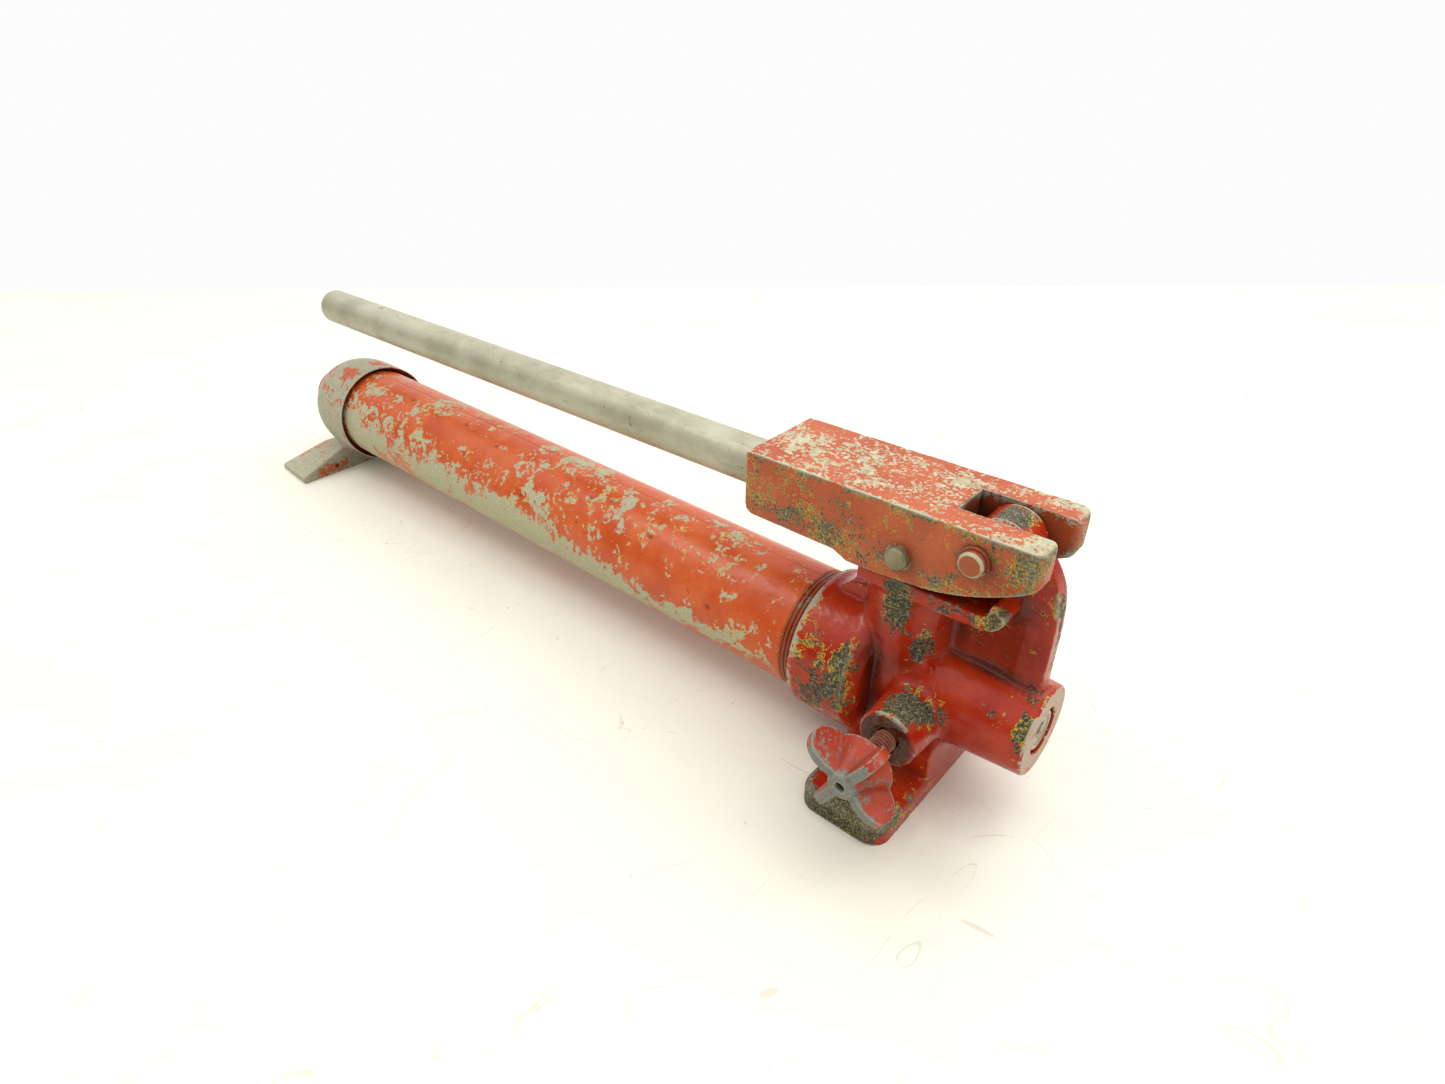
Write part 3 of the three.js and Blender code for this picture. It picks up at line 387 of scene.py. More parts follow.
class Net:
    """A short way to write the nodes of a material or a world."""

    def __init__(self, owner, place="Object"):
        owner.use_nodes = True
        self.owner, self.tree = owner, owner.node_tree
        self.tree.nodes.clear()
        self.place = self.add("ShaderNodeTexCoord").outputs[place]

    def add(self, kind, **settings):
        node = self.tree.nodes.new(kind)
        for key, value in settings.items():
            setattr(node, key, value)
        return node

    def feed(self, socket, value):
        if isinstance(value, bpy.types.NodeSocket):
            self.tree.links.new(value, socket)
        elif isinstance(value, tuple) and len(value) == 3 and socket.type == "RGBA":
            socket.default_value = (*value, 1)
        else:
            socket.default_value = value

    def noise(self, scale, detail=4.0, rough=0.55, warp=0.0, stretch=None):
        place = self.place
        if stretch:
            mapping = self.add("ShaderNodeMapping")
            self.feed(mapping.inputs["Vector"], self.place)
            mapping.inputs["Scale"].default_value = stretch
            place = mapping.outputs[0]
        node = self.add("ShaderNodeTexNoise")
        self.feed(node.inputs["Vector"], place)
        for key, value in (("Scale", scale), ("Detail", detail), ("Roughness", rough), ("Distortion", warp)):
            node.inputs[key].default_value = value
        return node.outputs["Fac"]

    def read(self, name):
        return self.add("ShaderNodeAttribute", attribute_name=name).outputs["Fac"]

    def math(self, operation, a, b=0.0, c=0.0):
        node = self.add("ShaderNodeMath", operation=operation)
        for socket, value in zip(node.inputs, (a, b, c)):
            self.feed(socket, value)
        return node.outputs[0]

    def step(self, value, low, high, to=(0.0, 1.0)):
        node = self.add("ShaderNodeMapRange", interpolation_type="SMOOTHSTEP")
        self.feed(node.inputs["Value"], value)
        for key, number in (("From Min", low), ("From Max", high), ("To Min", to[0]), ("To Max", to[1])):
            node.inputs[key].default_value = number
        return node.outputs[0]

    def mix(self, share, a, b):
        node = self.add("ShaderNodeMix", data_type="RGBA")
        self.feed(node.inputs["Factor"], share)
        self.feed(node.inputs[6], a)
        self.feed(node.inputs[7], b)
        return node.outputs[2]

    def ramp(self, value, *stops):
        node = self.add("ShaderNodeValToRGB")
        self.feed(node.inputs[0], value)
        elements = node.color_ramp.elements
        while len(elements) < len(stops):
            elements.new(0.5)
        for element, (at, color) in zip(elements, stops):
            element.position, element.color = at, (*color, 1)
        return node.outputs[0]

    def bump(self, height, depth, onto=None):
        node = self.add("ShaderNodeBump")
        node.inputs["Distance"].default_value = depth * MM
        self.feed(node.inputs["Height"], height)
        if onto is not None:
            self.feed(node.inputs["Normal"], onto)
        return node.outputs[0]

    def surface(self, color, rough, metallic, normal, specular):
        shader = self.add("ShaderNodeBsdfPrincipled")
        self.feed(shader.inputs["Base Color"], color)
        self.feed(shader.inputs["Roughness"], rough)
        self.feed(shader.inputs["Metallic"], metallic)
        shader.inputs["Specular IOR Level"].default_value = specular
        self.feed(shader.inputs["Normal"], normal)
        out = self.add("ShaderNodeOutputMaterial")
        self.tree.links.new(shader.outputs[0], out.inputs["Surface"])
        return self.owner


IRON = (
    (0.4, (0.012, 0.011, 0.006)), (0.5, (0.06, 0.052, 0.025)),
    (0.58, (0.17, 0.15, 0.075)), (0.68, (0.5, 0.46, 0.27)),
)
OLIVE = (
    (0.38, (0.04, 0.035, 0.015)), (0.5, (0.14, 0.12, 0.055)),
    (0.6, (0.26, 0.23, 0.12)), (0.72, (0.5, 0.46, 0.3)),
)
SCUFF = ((0.3, (0.3, 0.28, 0.17)), (0.52, (0.47, 0.445, 0.28)), (0.75, (0.62, 0.59, 0.42)))
BARE_CAP = ((0.3, (0.22, 0.21, 0.14)), (0.52, (0.42, 0.4, 0.28)), (0.75, (0.58, 0.56, 0.42)))
ZINC = ((0.3, (0.12, 0.125, 0.1)), (0.7, (0.27, 0.28, 0.235)))
PALE = (0.6, 0.56, 0.42)
YELLOW = (0.58, 0.42, 0.04)
# A near-black red, mixed in for dirt spots in the paint and for painted shade.
DIRT_AND_SHADE = (0.035, 0.01, 0.005)
WORN_THROUGH = 0.5
SPECULAR = 0.3


def times(color, share):
    """A darker colour."""
    return tuple(c * share for c in color)


def painted(name, reds, bare, patch, chip, fleck, gloss, rim=0.0, rims=0.0, grain=0.3, pale=0.8, machined_and_shaded=None):
    """Red paint over a yellow undercoat, worn through to metal where the wear attribute says.

    patch, chip and fleck are each a scale per metre and a strength, from coarse to fine. rim is how wide
    the undercoat shows, and rims how often. grain is how rough the bare metal is, and pale how light its
    edges are. The picked faces' colour is that of the machined faces, and on the cap the dark red of its
    mouth: the paint's red, darkened as painted shade.
    """
    net = Net(bpy.data.materials.new(name))
    edge, painted_shade = net.read("edge"), net.read("painted_shade")
    level = net.read("wear")
    for (scale, strength), detail, warp in ((patch, 3.0, 0.4), (chip, 8.0, 0.9), (fleck, 3.0, 0.3)):
        shift = net.math("SUBTRACT", net.noise(scale, detail, 0.62, warp), 0.5)
        level = net.math("ADD", level, net.math("MULTIPLY", shift, strength))
    gone = net.step(level, WORN_THROUGH, WORN_THROUGH + 0.015)
    rubbed = net.read("rubbed")
    seldom = 0.62 - rims * 0.3
    shown = net.step(net.noise(chip[0] * 0.3, 4.0, 0.6), seldom, seldom + 0.04)
    shown = net.math("MULTIPLY", shown, net.math("SUBTRACT", 1.0, rubbed))
    yellow = net.math("MULTIPLY", net.step(level, WORN_THROUGH - rim, WORN_THROUGH + 0.007 - rim), shown)
    red = net.mix(net.step(net.noise(38, 5.0, 0.6), 0.35, 0.65), *reds)
    red = net.mix(net.step(net.noise(700, 4.0, 0.7), 0.5, 0.75, (0, 0.3)), red, times(reds[0], 0.45))
    red = net.mix(net.step(net.noise(150, 6.0, 0.7, 0.6), 0.66, 0.7, (0, 0.7)), red, DIRT_AND_SHADE)
    color = net.mix(yellow, red, YELLOW)
    specks = net.noise(1000, 4.0, 0.75)
    metal = net.ramp(specks, *bare)
    flakes = net.math("MULTIPLY", net.step(net.noise(1300, 2.0), 0.6, 0.63, (0, 0.8)), shown)
    metal = net.mix(flakes, metal, times(YELLOW, 0.85))
    metal = net.mix(rubbed, metal, net.ramp(net.noise(260, 5.0, 0.7), *SCUFF))
    metal = net.mix(net.math("MULTIPLY", edge, pale), metal, PALE)
    color = net.mix(gone, color, metal)
    # Painted shade: creases, hollows and the shade zones darken towards near-black.
    color = net.mix(net.math("MULTIPLY", painted_shade, 0.85), color, DIRT_AND_SHADE)
    rough = net.mix(gone, (gloss,) * 3, (0.6,) * 3)
    if machined_and_shaded:
        face = net.mix(net.step(specks, 0.3, 0.7), times(machined_and_shaded, 0.8), machined_and_shaded)
        face = net.mix(net.step(net.noise(160, 6.0, 0.7), 0.57, 0.6, (0, 0.6)), face, reds[1])
        color = net.mix(net.read("machined_and_shaded"), color, face)
        rough = net.mix(net.read("machined_and_shaded"), rough, (0.45,) * 3)
    normal = net.bump(net.math("SUBTRACT", 1.0, gone), 0.14)
    normal = net.bump(net.math("MULTIPLY", specks, net.step(gone, 0.0, 1.0, (0.08, 1.0))), grain, normal)
    normal = net.bump(net.noise(170, 3.0, 0.5), 0.4, normal)
    return net.surface(color, rough, 0.0, normal, SPECULAR)


def metal(name, colors, rough, grain, metallic, depth=0.06, pits=None, stretch=None):
    """Bare metal, mottled and finely marked. pits are a scale per metre, a threshold and a colour."""
    net = Net(bpy.data.materials.new(name))
    mottle = net.noise(grain / 12, 5.0, 0.6)
    fine = net.noise(grain, 5.0, 0.7, 0.0, stretch)
    color = net.mix(net.step(mottle, 0.35, 0.65), *colors)
    color = net.mix(net.step(fine, 0.5, 0.8, (0, 0.5)), color, times(colors[0], 0.55))
    if pits:
        scale, threshold, dark = pits
        spots = net.step(net.noise(scale, 3.0, 0.6, 1.0), threshold, threshold + 0.02, (0, 0.85))
        color = net.mix(spots, color, dark)
    # Painted shade: creases and hollows, such as thread grooves, darken towards near-black.
    color = net.mix(net.math("MULTIPLY", net.read("painted_shade"), 0.8), color, DIRT_AND_SHADE)
    roughness = net.mix(net.step(fine, 0.4, 0.7), (rough,) * 3, (rough + 0.15,) * 3)
    return net.surface(color, roughness, metallic, net.bump(fine, depth), 0.5)


body_enamel = painted(
    "BodyEnamel", ((0.35, 0.014, 0.002), (0.45, 0.04, 0.01)), IRON,
    patch=(34, 0.75), chip=(200, 1.6), fleck=(760, 0.7),
    gloss=0.22, rim=0.07, rims=0.3, grain=0.4, pale=0.75, machined_and_shaded=(0.52, 0.37, 0.27),
)
tube_enamel = painted(
    "TubeEnamel", ((0.55, 0.075, 0.012), (0.64, 0.125, 0.03)), SCUFF,
    patch=(24, 1.0), chip=(95, 1.9), fleck=(420, 1.1),
    gloss=0.28, rim=0.03, rims=0.34, grain=0.1, pale=0.0,
)
lever_enamel = painted(
    "LeverEnamel", ((0.42, 0.075, 0.022), (0.5, 0.11, 0.035)), OLIVE,
    patch=(45, 0.8), chip=(170, 1.3), fleck=(640, 1.5),
    gloss=0.38, rim=0.05, rims=0.42, grain=0.2, pale=0.95,
)
plug_enamel = painted(
    "PlugEnamel", ((0.4, 0.04, 0.012), (0.48, 0.07, 0.02)), SCUFF,
    patch=(60, 0.4), chip=(300, 1.0), fleck=(900, 0.5),
    gloss=0.4, rim=0.05, rims=0.5,
)
# The picked-face colour here is the dark red of the cap's mouth: its red paint, darkened as painted shade.
cap_casting = painted(
    "CapCasting", ((0.5, 0.095, 0.03), (0.55, 0.14, 0.05)), BARE_CAP,
    patch=(52, 1.1), chip=(200, 1.5), fleck=(700, 0.5),
    gloss=0.45, grain=0.2, pale=0.4, machined_and_shaded=(0.2, 0.02, 0.007),
)
knob_zinc = painted(
    "KnobZinc", ((0.36, 0.035, 0.012), (0.45, 0.06, 0.022)), ZINC,
    patch=(90, 0.7), chip=(330, 1.4), fleck=(900, 0.6),
    gloss=0.33, grain=0.12, pale=0.3,
)
pin_painted = painted(
    "PinPaint", ((0.36, 0.085, 0.028), (0.42, 0.12, 0.04)), SCUFF,
    patch=(200, 0.4), chip=(500, 0.8), fleck=(900, 0.4),
    gloss=0.4, grain=0.1, pale=0.9, machined_and_shaded=(0.5, 0.46, 0.32),
)
bar_steel = metal(
    "BarSteel", ((0.38, 0.36, 0.25), (0.5, 0.48, 0.35)), 0.42, 420, 0.25, 0.05,
    pits=(230, 0.68, (0.12, 0.1, 0.06)), stretch=(0.2, 1.0, 1.0),
)
pin_steel = metal("PinSteel", ((0.17, 0.145, 0.07), (0.3, 0.26, 0.15)), 0.42, 900, 0.3)
clip_steel = metal("ClipSteel", ((0.2, 0.05, 0.025), (0.32, 0.09, 0.05)), 0.4, 1300, 0.2)
stem_steel = metal("StemSteel", ((0.24, 0.06, 0.035), (0.38, 0.15, 0.1)), 0.38, 1200, 0.2)
plunger_steel = metal("PlungerSteel", ((0.55, 0.55, 0.52), (0.66, 0.66, 0.63)), 0.18, 1500, 0.95, 0.01)
gland_steel = metal("GlandSteel", ((0.25, 0.23, 0.17), (0.38, 0.35, 0.27)), 0.45, 1100, 0.6)
plug_steel = metal("PlugSteel", ((0.42, 0.38, 0.27), (0.55, 0.5, 0.38)), 0.38, 1300, 0.5, 0.05)
bearing_steel = metal("BearingSteel", ((0.6, 0.6, 0.6), (0.7, 0.7, 0.7)), 0.1, 2500, 1.0, 0.005)
spring_steel = metal("SpringSteel", ((0.22, 0.21, 0.19), (0.32, 0.31, 0.28)), 0.35, 1500, 0.8)
brass_fittings = metal("BrassFittings", ((0.5, 0.33, 0.1), (0.6, 0.42, 0.16)), 0.35, 1100, 0.8)
seal_rubber = metal("SealRubber", ((0.02, 0.02, 0.02), (0.035, 0.035, 0.033)), 0.65, 1800, 0.0)

# ---- pump body ----


def collar():
    profile = [(COLLAR_REAR - 2, 0), (COLLAR_REAR - 2, COLLAR_R), (COLLAR_FRONT - 3, COLLAR_R)]
    profile += [(COLLAR_FRONT, COLLAR_R - 1.8), (COLLAR_FRONT + 3, COLLAR_R - 5), (COLLAR_FRONT + 3, 0)]
    return lathe("x", 192, profile, TUBE_AXIS)


def port_boss():
    profile = [(-4, 0), (-4, 23.4), (PORT_FACE - 34, 22.6), (PORT_FACE - 1, PORT_R + 0.1)]
    return lathe("x", 160, profile + [(PORT_FACE + 2, PORT_R + 0.1), (PORT_FACE + 2, 0)], PORT_AXIS)


def valve_boss():
    profile = [(VALVE_FACE - 2, 0), (VALVE_FACE - 2, VALVE_BOSS_R), (VALVE_FACE + 1.2, VALVE_BOSS_R)]
    profile += [(VALVE_FACE + 26, VALVE_BOSS_R + 1.2), (-10, VALVE_BOSS_R + 1.2), (-10, 0)]
    return lathe("y", 128, profile, VALVE_AXIS)


def deck():
    top = DECK_TOP
    outline = [(-28.2, top - DECK_THICK), (-28.2, top), (29.2, top), (29.6, top + 4.6)]
    outline += bend((29.6, top + 4.6), (30.8, top + 7.6), (32.2, top + 5.4), 5)
    outline += [(33.8, top + 3.4), (35.6, top + 3)]
    outline += bend((35.6, top + 3), (38.2, top), (32.4, top - 4.8), 6)
    outline += [(28, top - 6.2), (22, top - DECK_THICK)]
    return plate(outline, (-DECK_HALF, DECK_HALF))


def web():
    """The web under the knuckle: a thin plate with a raised border, which leaves a shallow panel."""
    front = [(51.3, 50), (50.6, 82)]
    front += bend((50.6, 82), (50.9, 105), (48.2, 113.5))
    front += bend((48.2, 113.5), (45.8, 120.5), (39.5, 127))
    left = KNUCKLE_X - KNUCKLE_R + 1
    crown = bend((39.5, 127), (33, 134.5), (KNUCKLE_X, KNUCKLE_Z + KNUCKLE_R - 1)) + [(left, KNUCKLE_Z)]
    panel, border = (-WEB_HALF + 0.8, WEB_HALF - 0.8), (-WEB_HALF, WEB_HALF)
    bodies = [plate([(8, 50)] + front + crown + [(left, 103), (8, 96)], panel)]
    bodies.append(plate([(38.5, 50)] + front + [(38.5, 127)], border))
    bodies.append(plate([(left, 99), (42, 99), (42, 124)] + crown, border))
    return bodies + [box((8, 50), border, (50, 70)), box((8, 18.5), border, (50, 98))]


def foot_outline(inset, corner=9):
    x, y, r = (FOOT_REAR + inset, FOOT_FRONT - inset), FOOT_HALF - inset, corner - inset
    outline = arc(x[1] - r, -y + r, r, -90, 0, 8) + arc(x[1] - r, y - r, r, 0, 90, 8)
    return outline + arc(x[0] + r, y - r, r, 90, 180, 8) + arc(x[0] + r, -y + r, r, 180, 270, 8)


def front_foot():
    levels = [(-1, 0), (0.5, 0), (8.6, 0), (10.2, 0.6), (11.1, 1.6), (FOOT_THICK, 3.2)]
    return stack([[(u, v, z) for u, v in foot_outline(inset)] for z, inset in levels])


def pedestal():
    right = [(24, 4), (24.5, 12), (26, 24.5), (24, 27), (17, 31)]
    outline = right + [(-y, z) for y, z in reversed(right)]
    ends = (FOOT_REAR + 0.3, FOOT_FRONT - 0.3)
    return stack([[(x, y, z) for y, z in outline] for x in ends])


BODY_WEAR = [
    # plunger boss, then valve boss
    ((-8, -20, 92), (8, 9, 17), 0.8), ((3, -17, 74), (7, 9, 10), 0.5), ((2, 22, 84), (12, 9, 18), 0.36),
    ((9, -32, 55), (10, 10, 7), 0.85), ((18, -27, 50), (6, 12, 10), 0.4),
    # collar
    ((-25, -30, 58), (6, 10, 12), 0.45), ((-28, -33, 42), (11, 9, 16), 0.5),
    ((-40, -33, 34), (9, 9, 16), 0.34), ((-42, -31, 56), (12, 9, 14), 0.22),
    ((-52, 0, 42), (2.6, 44, 44), 0.3), ((-34, 32, 46), (16, 10, 18), 0.34),
    # outlet boss
    ((40, -19, 58), (5, 6, 4), 0.45), ((51, -17, 58), (4, 9, 12), 0.5), ((50, -4, 68), (7, 9, 4), 0.34),
    ((50, -14, 34), (7, 9, 9), 0.16), ((46, 18, 56), (9, 8, 10), 0.3),
    # deck and its lip
    ((34, -21, 104), (7, 6, 7), 0.6), ((12, -21, 100), (22, 4, 4), 0.22),
    # web and knuckle
    ((50, 0, 100), (4, 6, 26), 0.4), ((46, -5, 100), (4, 3, 20), 0.2), ((44, 4, 84), (8, 3, 14), 0.16),
    ((25, 0, 138), (10, 9, 6), 0.75),
    # foot
    ((-2, -62, 5), (34, 5, 10), 0.8), ((-22, -50, 8), (5, 24, 8), 0.7), ((4, -54, 12), (26, 14, 4), 0.45),
    ((20, -50, 8), (4, 22, 7), 0.3), ((-2, 62, 5), (34, 5, 10), 0.5), ((-22, 50, 8), (5, 24, 8), 0.45),
]
# Painted shade: zones darkened under the lever, in corners and recesses, on the valve face and beside the
# foot.
BODY_SHADE_ZONES = [
    # deck
    ((0, 0, DECK_TOP), (34, 24, 3), 0.9), *both_sides(((30, -5, 102), (16, 3, 9), 0.7)),
    # web, and the slot under the lever
    *both_sides(((14, -8, 82), (6, 8, 14), 0.6), ((32, -6, 69), (22, 3, 4), 0.7)),
    *both_sides(((30, -5, 86), (20, 3, 26), 0.6)), ((15, 0, 124), (5, 14, 14), 0.5),
    # corners between the collar and the bosses
    *both_sides(((-17, -24, 66), (6, 9, 26), 0.55)), ((-16, -18, 44), (7, 7, 26), 0.75),
    ((-16, 18, 44), (7, 7, 26), 0.6), ((-8, -20, 30), (14, 12, 12), 0.5),
    ((-8, -20, 62), (12, 9, 6), 0.3), ((-8, -16, 56), (16, 10, 8), 0.25),
    # valve face and bore, outlet recess, foot
    ((VALVE_X, VALVE_FACE, AXIS_Z), (20, 1.1, 20), 1.3),
    ((VALVE_X, VALVE_FACE + 6, AXIS_Z), (8, 7, 8), 1.0),
    ((PORT_FACE - 4, 0, PORT_Z), (3.2, 12, 12), 3.0), *both_sides(((0, -26, 13), (26, 10, 5), 0.4)),
]


def on_port_face(faces):
    return (faces[:, 0] > PORT_FACE - 0.8) & (faces[:, 3] > 0.9)


def pump_body():
    pad = [(-44, 60), (-44, 77.5), (-39, 82), (-30, 83.5), (-28, 98), (-14, 98), (-14, 60)]
    boss = rod("z", 128, 14, DECK_TOP - 3, PLUNGER_BOSS_R, PLUNGER_AXIS)
    half = KNUCKLE_HALF + 0.7
    knuckle = rod("y", 96, -half, half, KNUCKLE_R + 0.2, (KNUCKLE_X, 0, KNUCKLE_Z))
    bodies = [collar(), plate(pad, (-7, 7)), box((COLLAR_FRONT - 4, 10), (-17.5, 17.5), (16, 66)), boss]
    bodies += [port_boss(), valve_boss(), deck(), *web(), knuckle, front_foot(), pedestal()]
    piece = made("pump_body_casting", *bodies)
    cast(piece, pick(0.6), pick(64), 3)
    below = box((-80, 80), (-80, 80), (-5, 0))
    carved(piece, *machined_ends(), *passages(), below)
    finished(
        piece, "pump", body_enamel, ["pump_body"],
        0.19, 0.2, BODY_WEAR, BODY_SHADE_ZONES, on_port_face,
    )


def machined_ends():
    """What the cutter takes off the casting's ends, each with the chamfer it leaves."""
    end, far = PORT_FACE, PORT_FACE + 6
    face, out = VALVE_FACE, VALVE_FACE - 6
    rim, side = COLLAR_REAR, KNUCKLE_HALF
    port = [(end, 0), (end, PORT_R - 0.7), (end - 1.2, PORT_R + 0.5), (end - 1.2, 28), (far, 28), (far, 0)]
    valve = [(face, 0), (face, 11.9), (face + 1.2, 13.1), (face + 1.2, 24), (out, 24), (out, 0)]
    collar_end = [(rim, 0), (rim, 32.5), (rim + 1.2, 34), (rim + 4, COLLAR_R), (rim + 4, 42)]
    collar_end += [(rim - 8, 42), (rim - 8, 0)]
    knuckle = [(side, 0), (side, 10.9), (side - 1.1, 12.1), (side - 1.1, 16), (side + 4, 16), (side + 4, 0)]
    at = (KNUCKLE_X, 0, KNUCKLE_Z)
    tools = [lathe("x", 160, port, PORT_AXIS), lathe("y", 128, valve, VALVE_AXIS)]
    tools += [lathe("x", 192, collar_end, TUBE_AXIS), lathe("y", 96, knuckle, at)]
    return tools + [lathe("y", 96, [(-y, r) for y, r in knuckle], at)]


def passages():
    """The bores, counterbores and bolt holes."""
    intake = (0, 0, INTAKE_Z)
    pocket = rod("x", 160, COLLAR_REAR - 9, POCKET_FLOOR, POCKET_R, TUBE_AXIS)
    plunger_bore = [(INTAKE_Z, 0), (INTAKE_Z, 2.4), (29, 2.4), (29, 4.6), (36, 4.6), (36, 6.9), (78, 6.9)]
    plunger_bore += [(78, 10), (88, 10), (88, 12.5), (109, 12.5), (109, 0)]
    floor, rim = PORT_FACE - RECESS_DEPTH, PORT_FACE + 0.6
    outlet = [(-5, 0), (-5, 2.2), (0.5, 2.2), (0.5, 5.2), (30, 5.2), (30, 8.3), (floor, 8.3)]
    outlet += [(floor, RECESS_R), (PORT_FACE - 0.5, RECESS_R), (rim, RECESS_R + 1), (rim, 0)]
    release = [(-46, 0), (-46, 10.2), (-41, 5.1), (-26, 5.1), (-26, 6.6), (-22.6, 6.6), (-22.6, 5.1)]
    release += [(-20, 5.1), (-20, 0)]
    return [
        pocket,
        lathe("z", 96, plunger_bore, PLUNGER_AXIS),
        lathe("x", 96, outlet, PORT_AXIS),
        lathe("y", 96, release, VALVE_AXIS),
        rod("y", 64, -20, 20, FULCRUM_R + FIT, (FULCRUM_X, 0, FULCRUM_Z)),
        *[rod("z", 48, -1, FOOT_THICK + 1, 4.5, (0, y, 0)) for y in (-BOLT_Y, BOLT_Y)],
        rod("x", 32, POCKET_FLOOR - 1, POCKET_FLOOR + 8, 4.3, intake),
        rod("x", 32, POCKET_FLOOR + 4, PLUNGER_X + 2.5, 2.6, intake),
        rod("x", 32, POCKET_FLOOR - 1, -12, 3.6, (0, RELIEF_Y, RELIEF_Z)),
    ]


pump_body()

# ---- reservoir ----


DENTS = [  # the place along the tube, and degrees from its top towards the near side
    (-289, 24), (-383, 16), (-152, 41), (-104, 77), (-187, 24),
    (-201, 31), (-309, 50), (-324, 16), (-250, 62),
]
SEAM = -2
LAST_THREADS = (-54.4, -56.6, -58.8)
TUBE_WEAR = [
    # the long rubbed band low on the near side
    ((-425, -29, 44), (40, 14, 24), 0.3), ((-370, -30, 38), (60, 13, 26), 0.28),
    ((-300, -31, 34), (60, 13, 20), 0.4), ((-250, -31, 38), (36, 12, 22), 0.42),
    ((-205, -31, 32), (44, 12, 16), 0.4), ((-150, -31, 30), (50, 11, 13), 0.4),
    ((-95, -31, 34), (36, 9, 8), 0.36),
    # patches on its top
    ((-400, -16, 66), (36, 16, 12), 0.14), ((-345, -4, 71), (40, 12, 5), 0.1),
    ((-184, -8, 70), (14, 9, 6), 0.24), ((-160, -17, 66), (22, 9, 8), 0.16),
    ((-120, 2, 72), (40, 8, 4), 0.24), ((-220, 4, 71), (22, 9, 5), 0.16),
    ((-174, -27, 55), (26, 9, 10), 0.16), ((-100, -28, 52), (30, 9, 10), -0.08),
    ((-75, -20, 62), (24, 14, 12), -0.12), ((-240, -12, 70), (30, 9, 6), -0.06),
    # far side and underside
    ((-300, 27, 48), (90, 12, 20), 0.26), ((-150, 28, 36), (70, 11, 14), 0.22),
    ((-300, 0, 12), (160, 24, 5), 0.2),
]


def around(turns, angle):
    """How far round the tube each turn is from an angle in degrees from its top, in millimetres."""
    above = np.degrees(turns) - 90
    return np.radians((above - angle + 180) % 360 - 180) * TUBE_R


def tube_relief(along, turns):
    """The seam, the dents and the last turns of thread, as a change of radius."""
    change = -0.3 * np.exp(-((around(turns, SEAM) / 0.8) ** 2))
    for at, angle in DENTS:
        change -= 0.75 * np.exp(-(((along - at) / 2.0) ** 2) - (around(turns, angle) / 1.3) ** 2)
    return change - sum(0.8 * math.exp(-(((along - at) / 0.6) ** 2)) for at in LAST_THREADS)


def reservoir_tube():
    inner = TUBE_R - TUBE_WALL
    along = [*np.arange(TUBE_REAR + 2, -66, pick(1.2)), *np.arange(-66, -50, 0.35)]
    along += [*np.arange(-50, TUBE_FRONT, 3.0)]
    outside = [(TUBE_REAR, inner), (TUBE_REAR, TUBE_R), *[(x, TUBE_R) for x in along]]
    outside += [(TUBE_FRONT, TUBE_R), (TUBE_FRONT, inner), (TUBE_REAR, inner)]
    piece = made("reservoir_pipe", lathe("x", 240, outside, TUBE_AXIS, tube_relief))
    # Painted shade at the cap's mouth and in the last thread grooves.
    shade_zones = [((-450, 0, AXIS_Z), (10, 40, 40), 0.5), ((-56.6, 0, AXIS_Z), (4, 60, 60), 0.8)]
    finished(
        piece, "pump", tube_enamel, ["reservoir_tube"],
        0.3, 0.0, TUBE_WEAR, shade_zones, angle=60,
    )


def rear_foot():
    def section(x, tip, top, root):
        return [(x, -tip, 0), (x, tip, 0), (x, tip, top), (x, 24, root), (x, -24, root), (x, -tip, top)]

    return stack([section(-461.4, 60.3, 4.4, 19), section(-498.7, 57.5, 2.8, 9.5)])


# The faces inside the cap's mouth, which take the dark red painted shade.
def in_cap_mouth(faces):
    outward = faces[:, 1] * faces[:, 4] + (faces[:, 2] - AXIS_Z) * faces[:, 5]
    return (faces[:, 0] > CAP_RIM - 6) & (outward < -8)


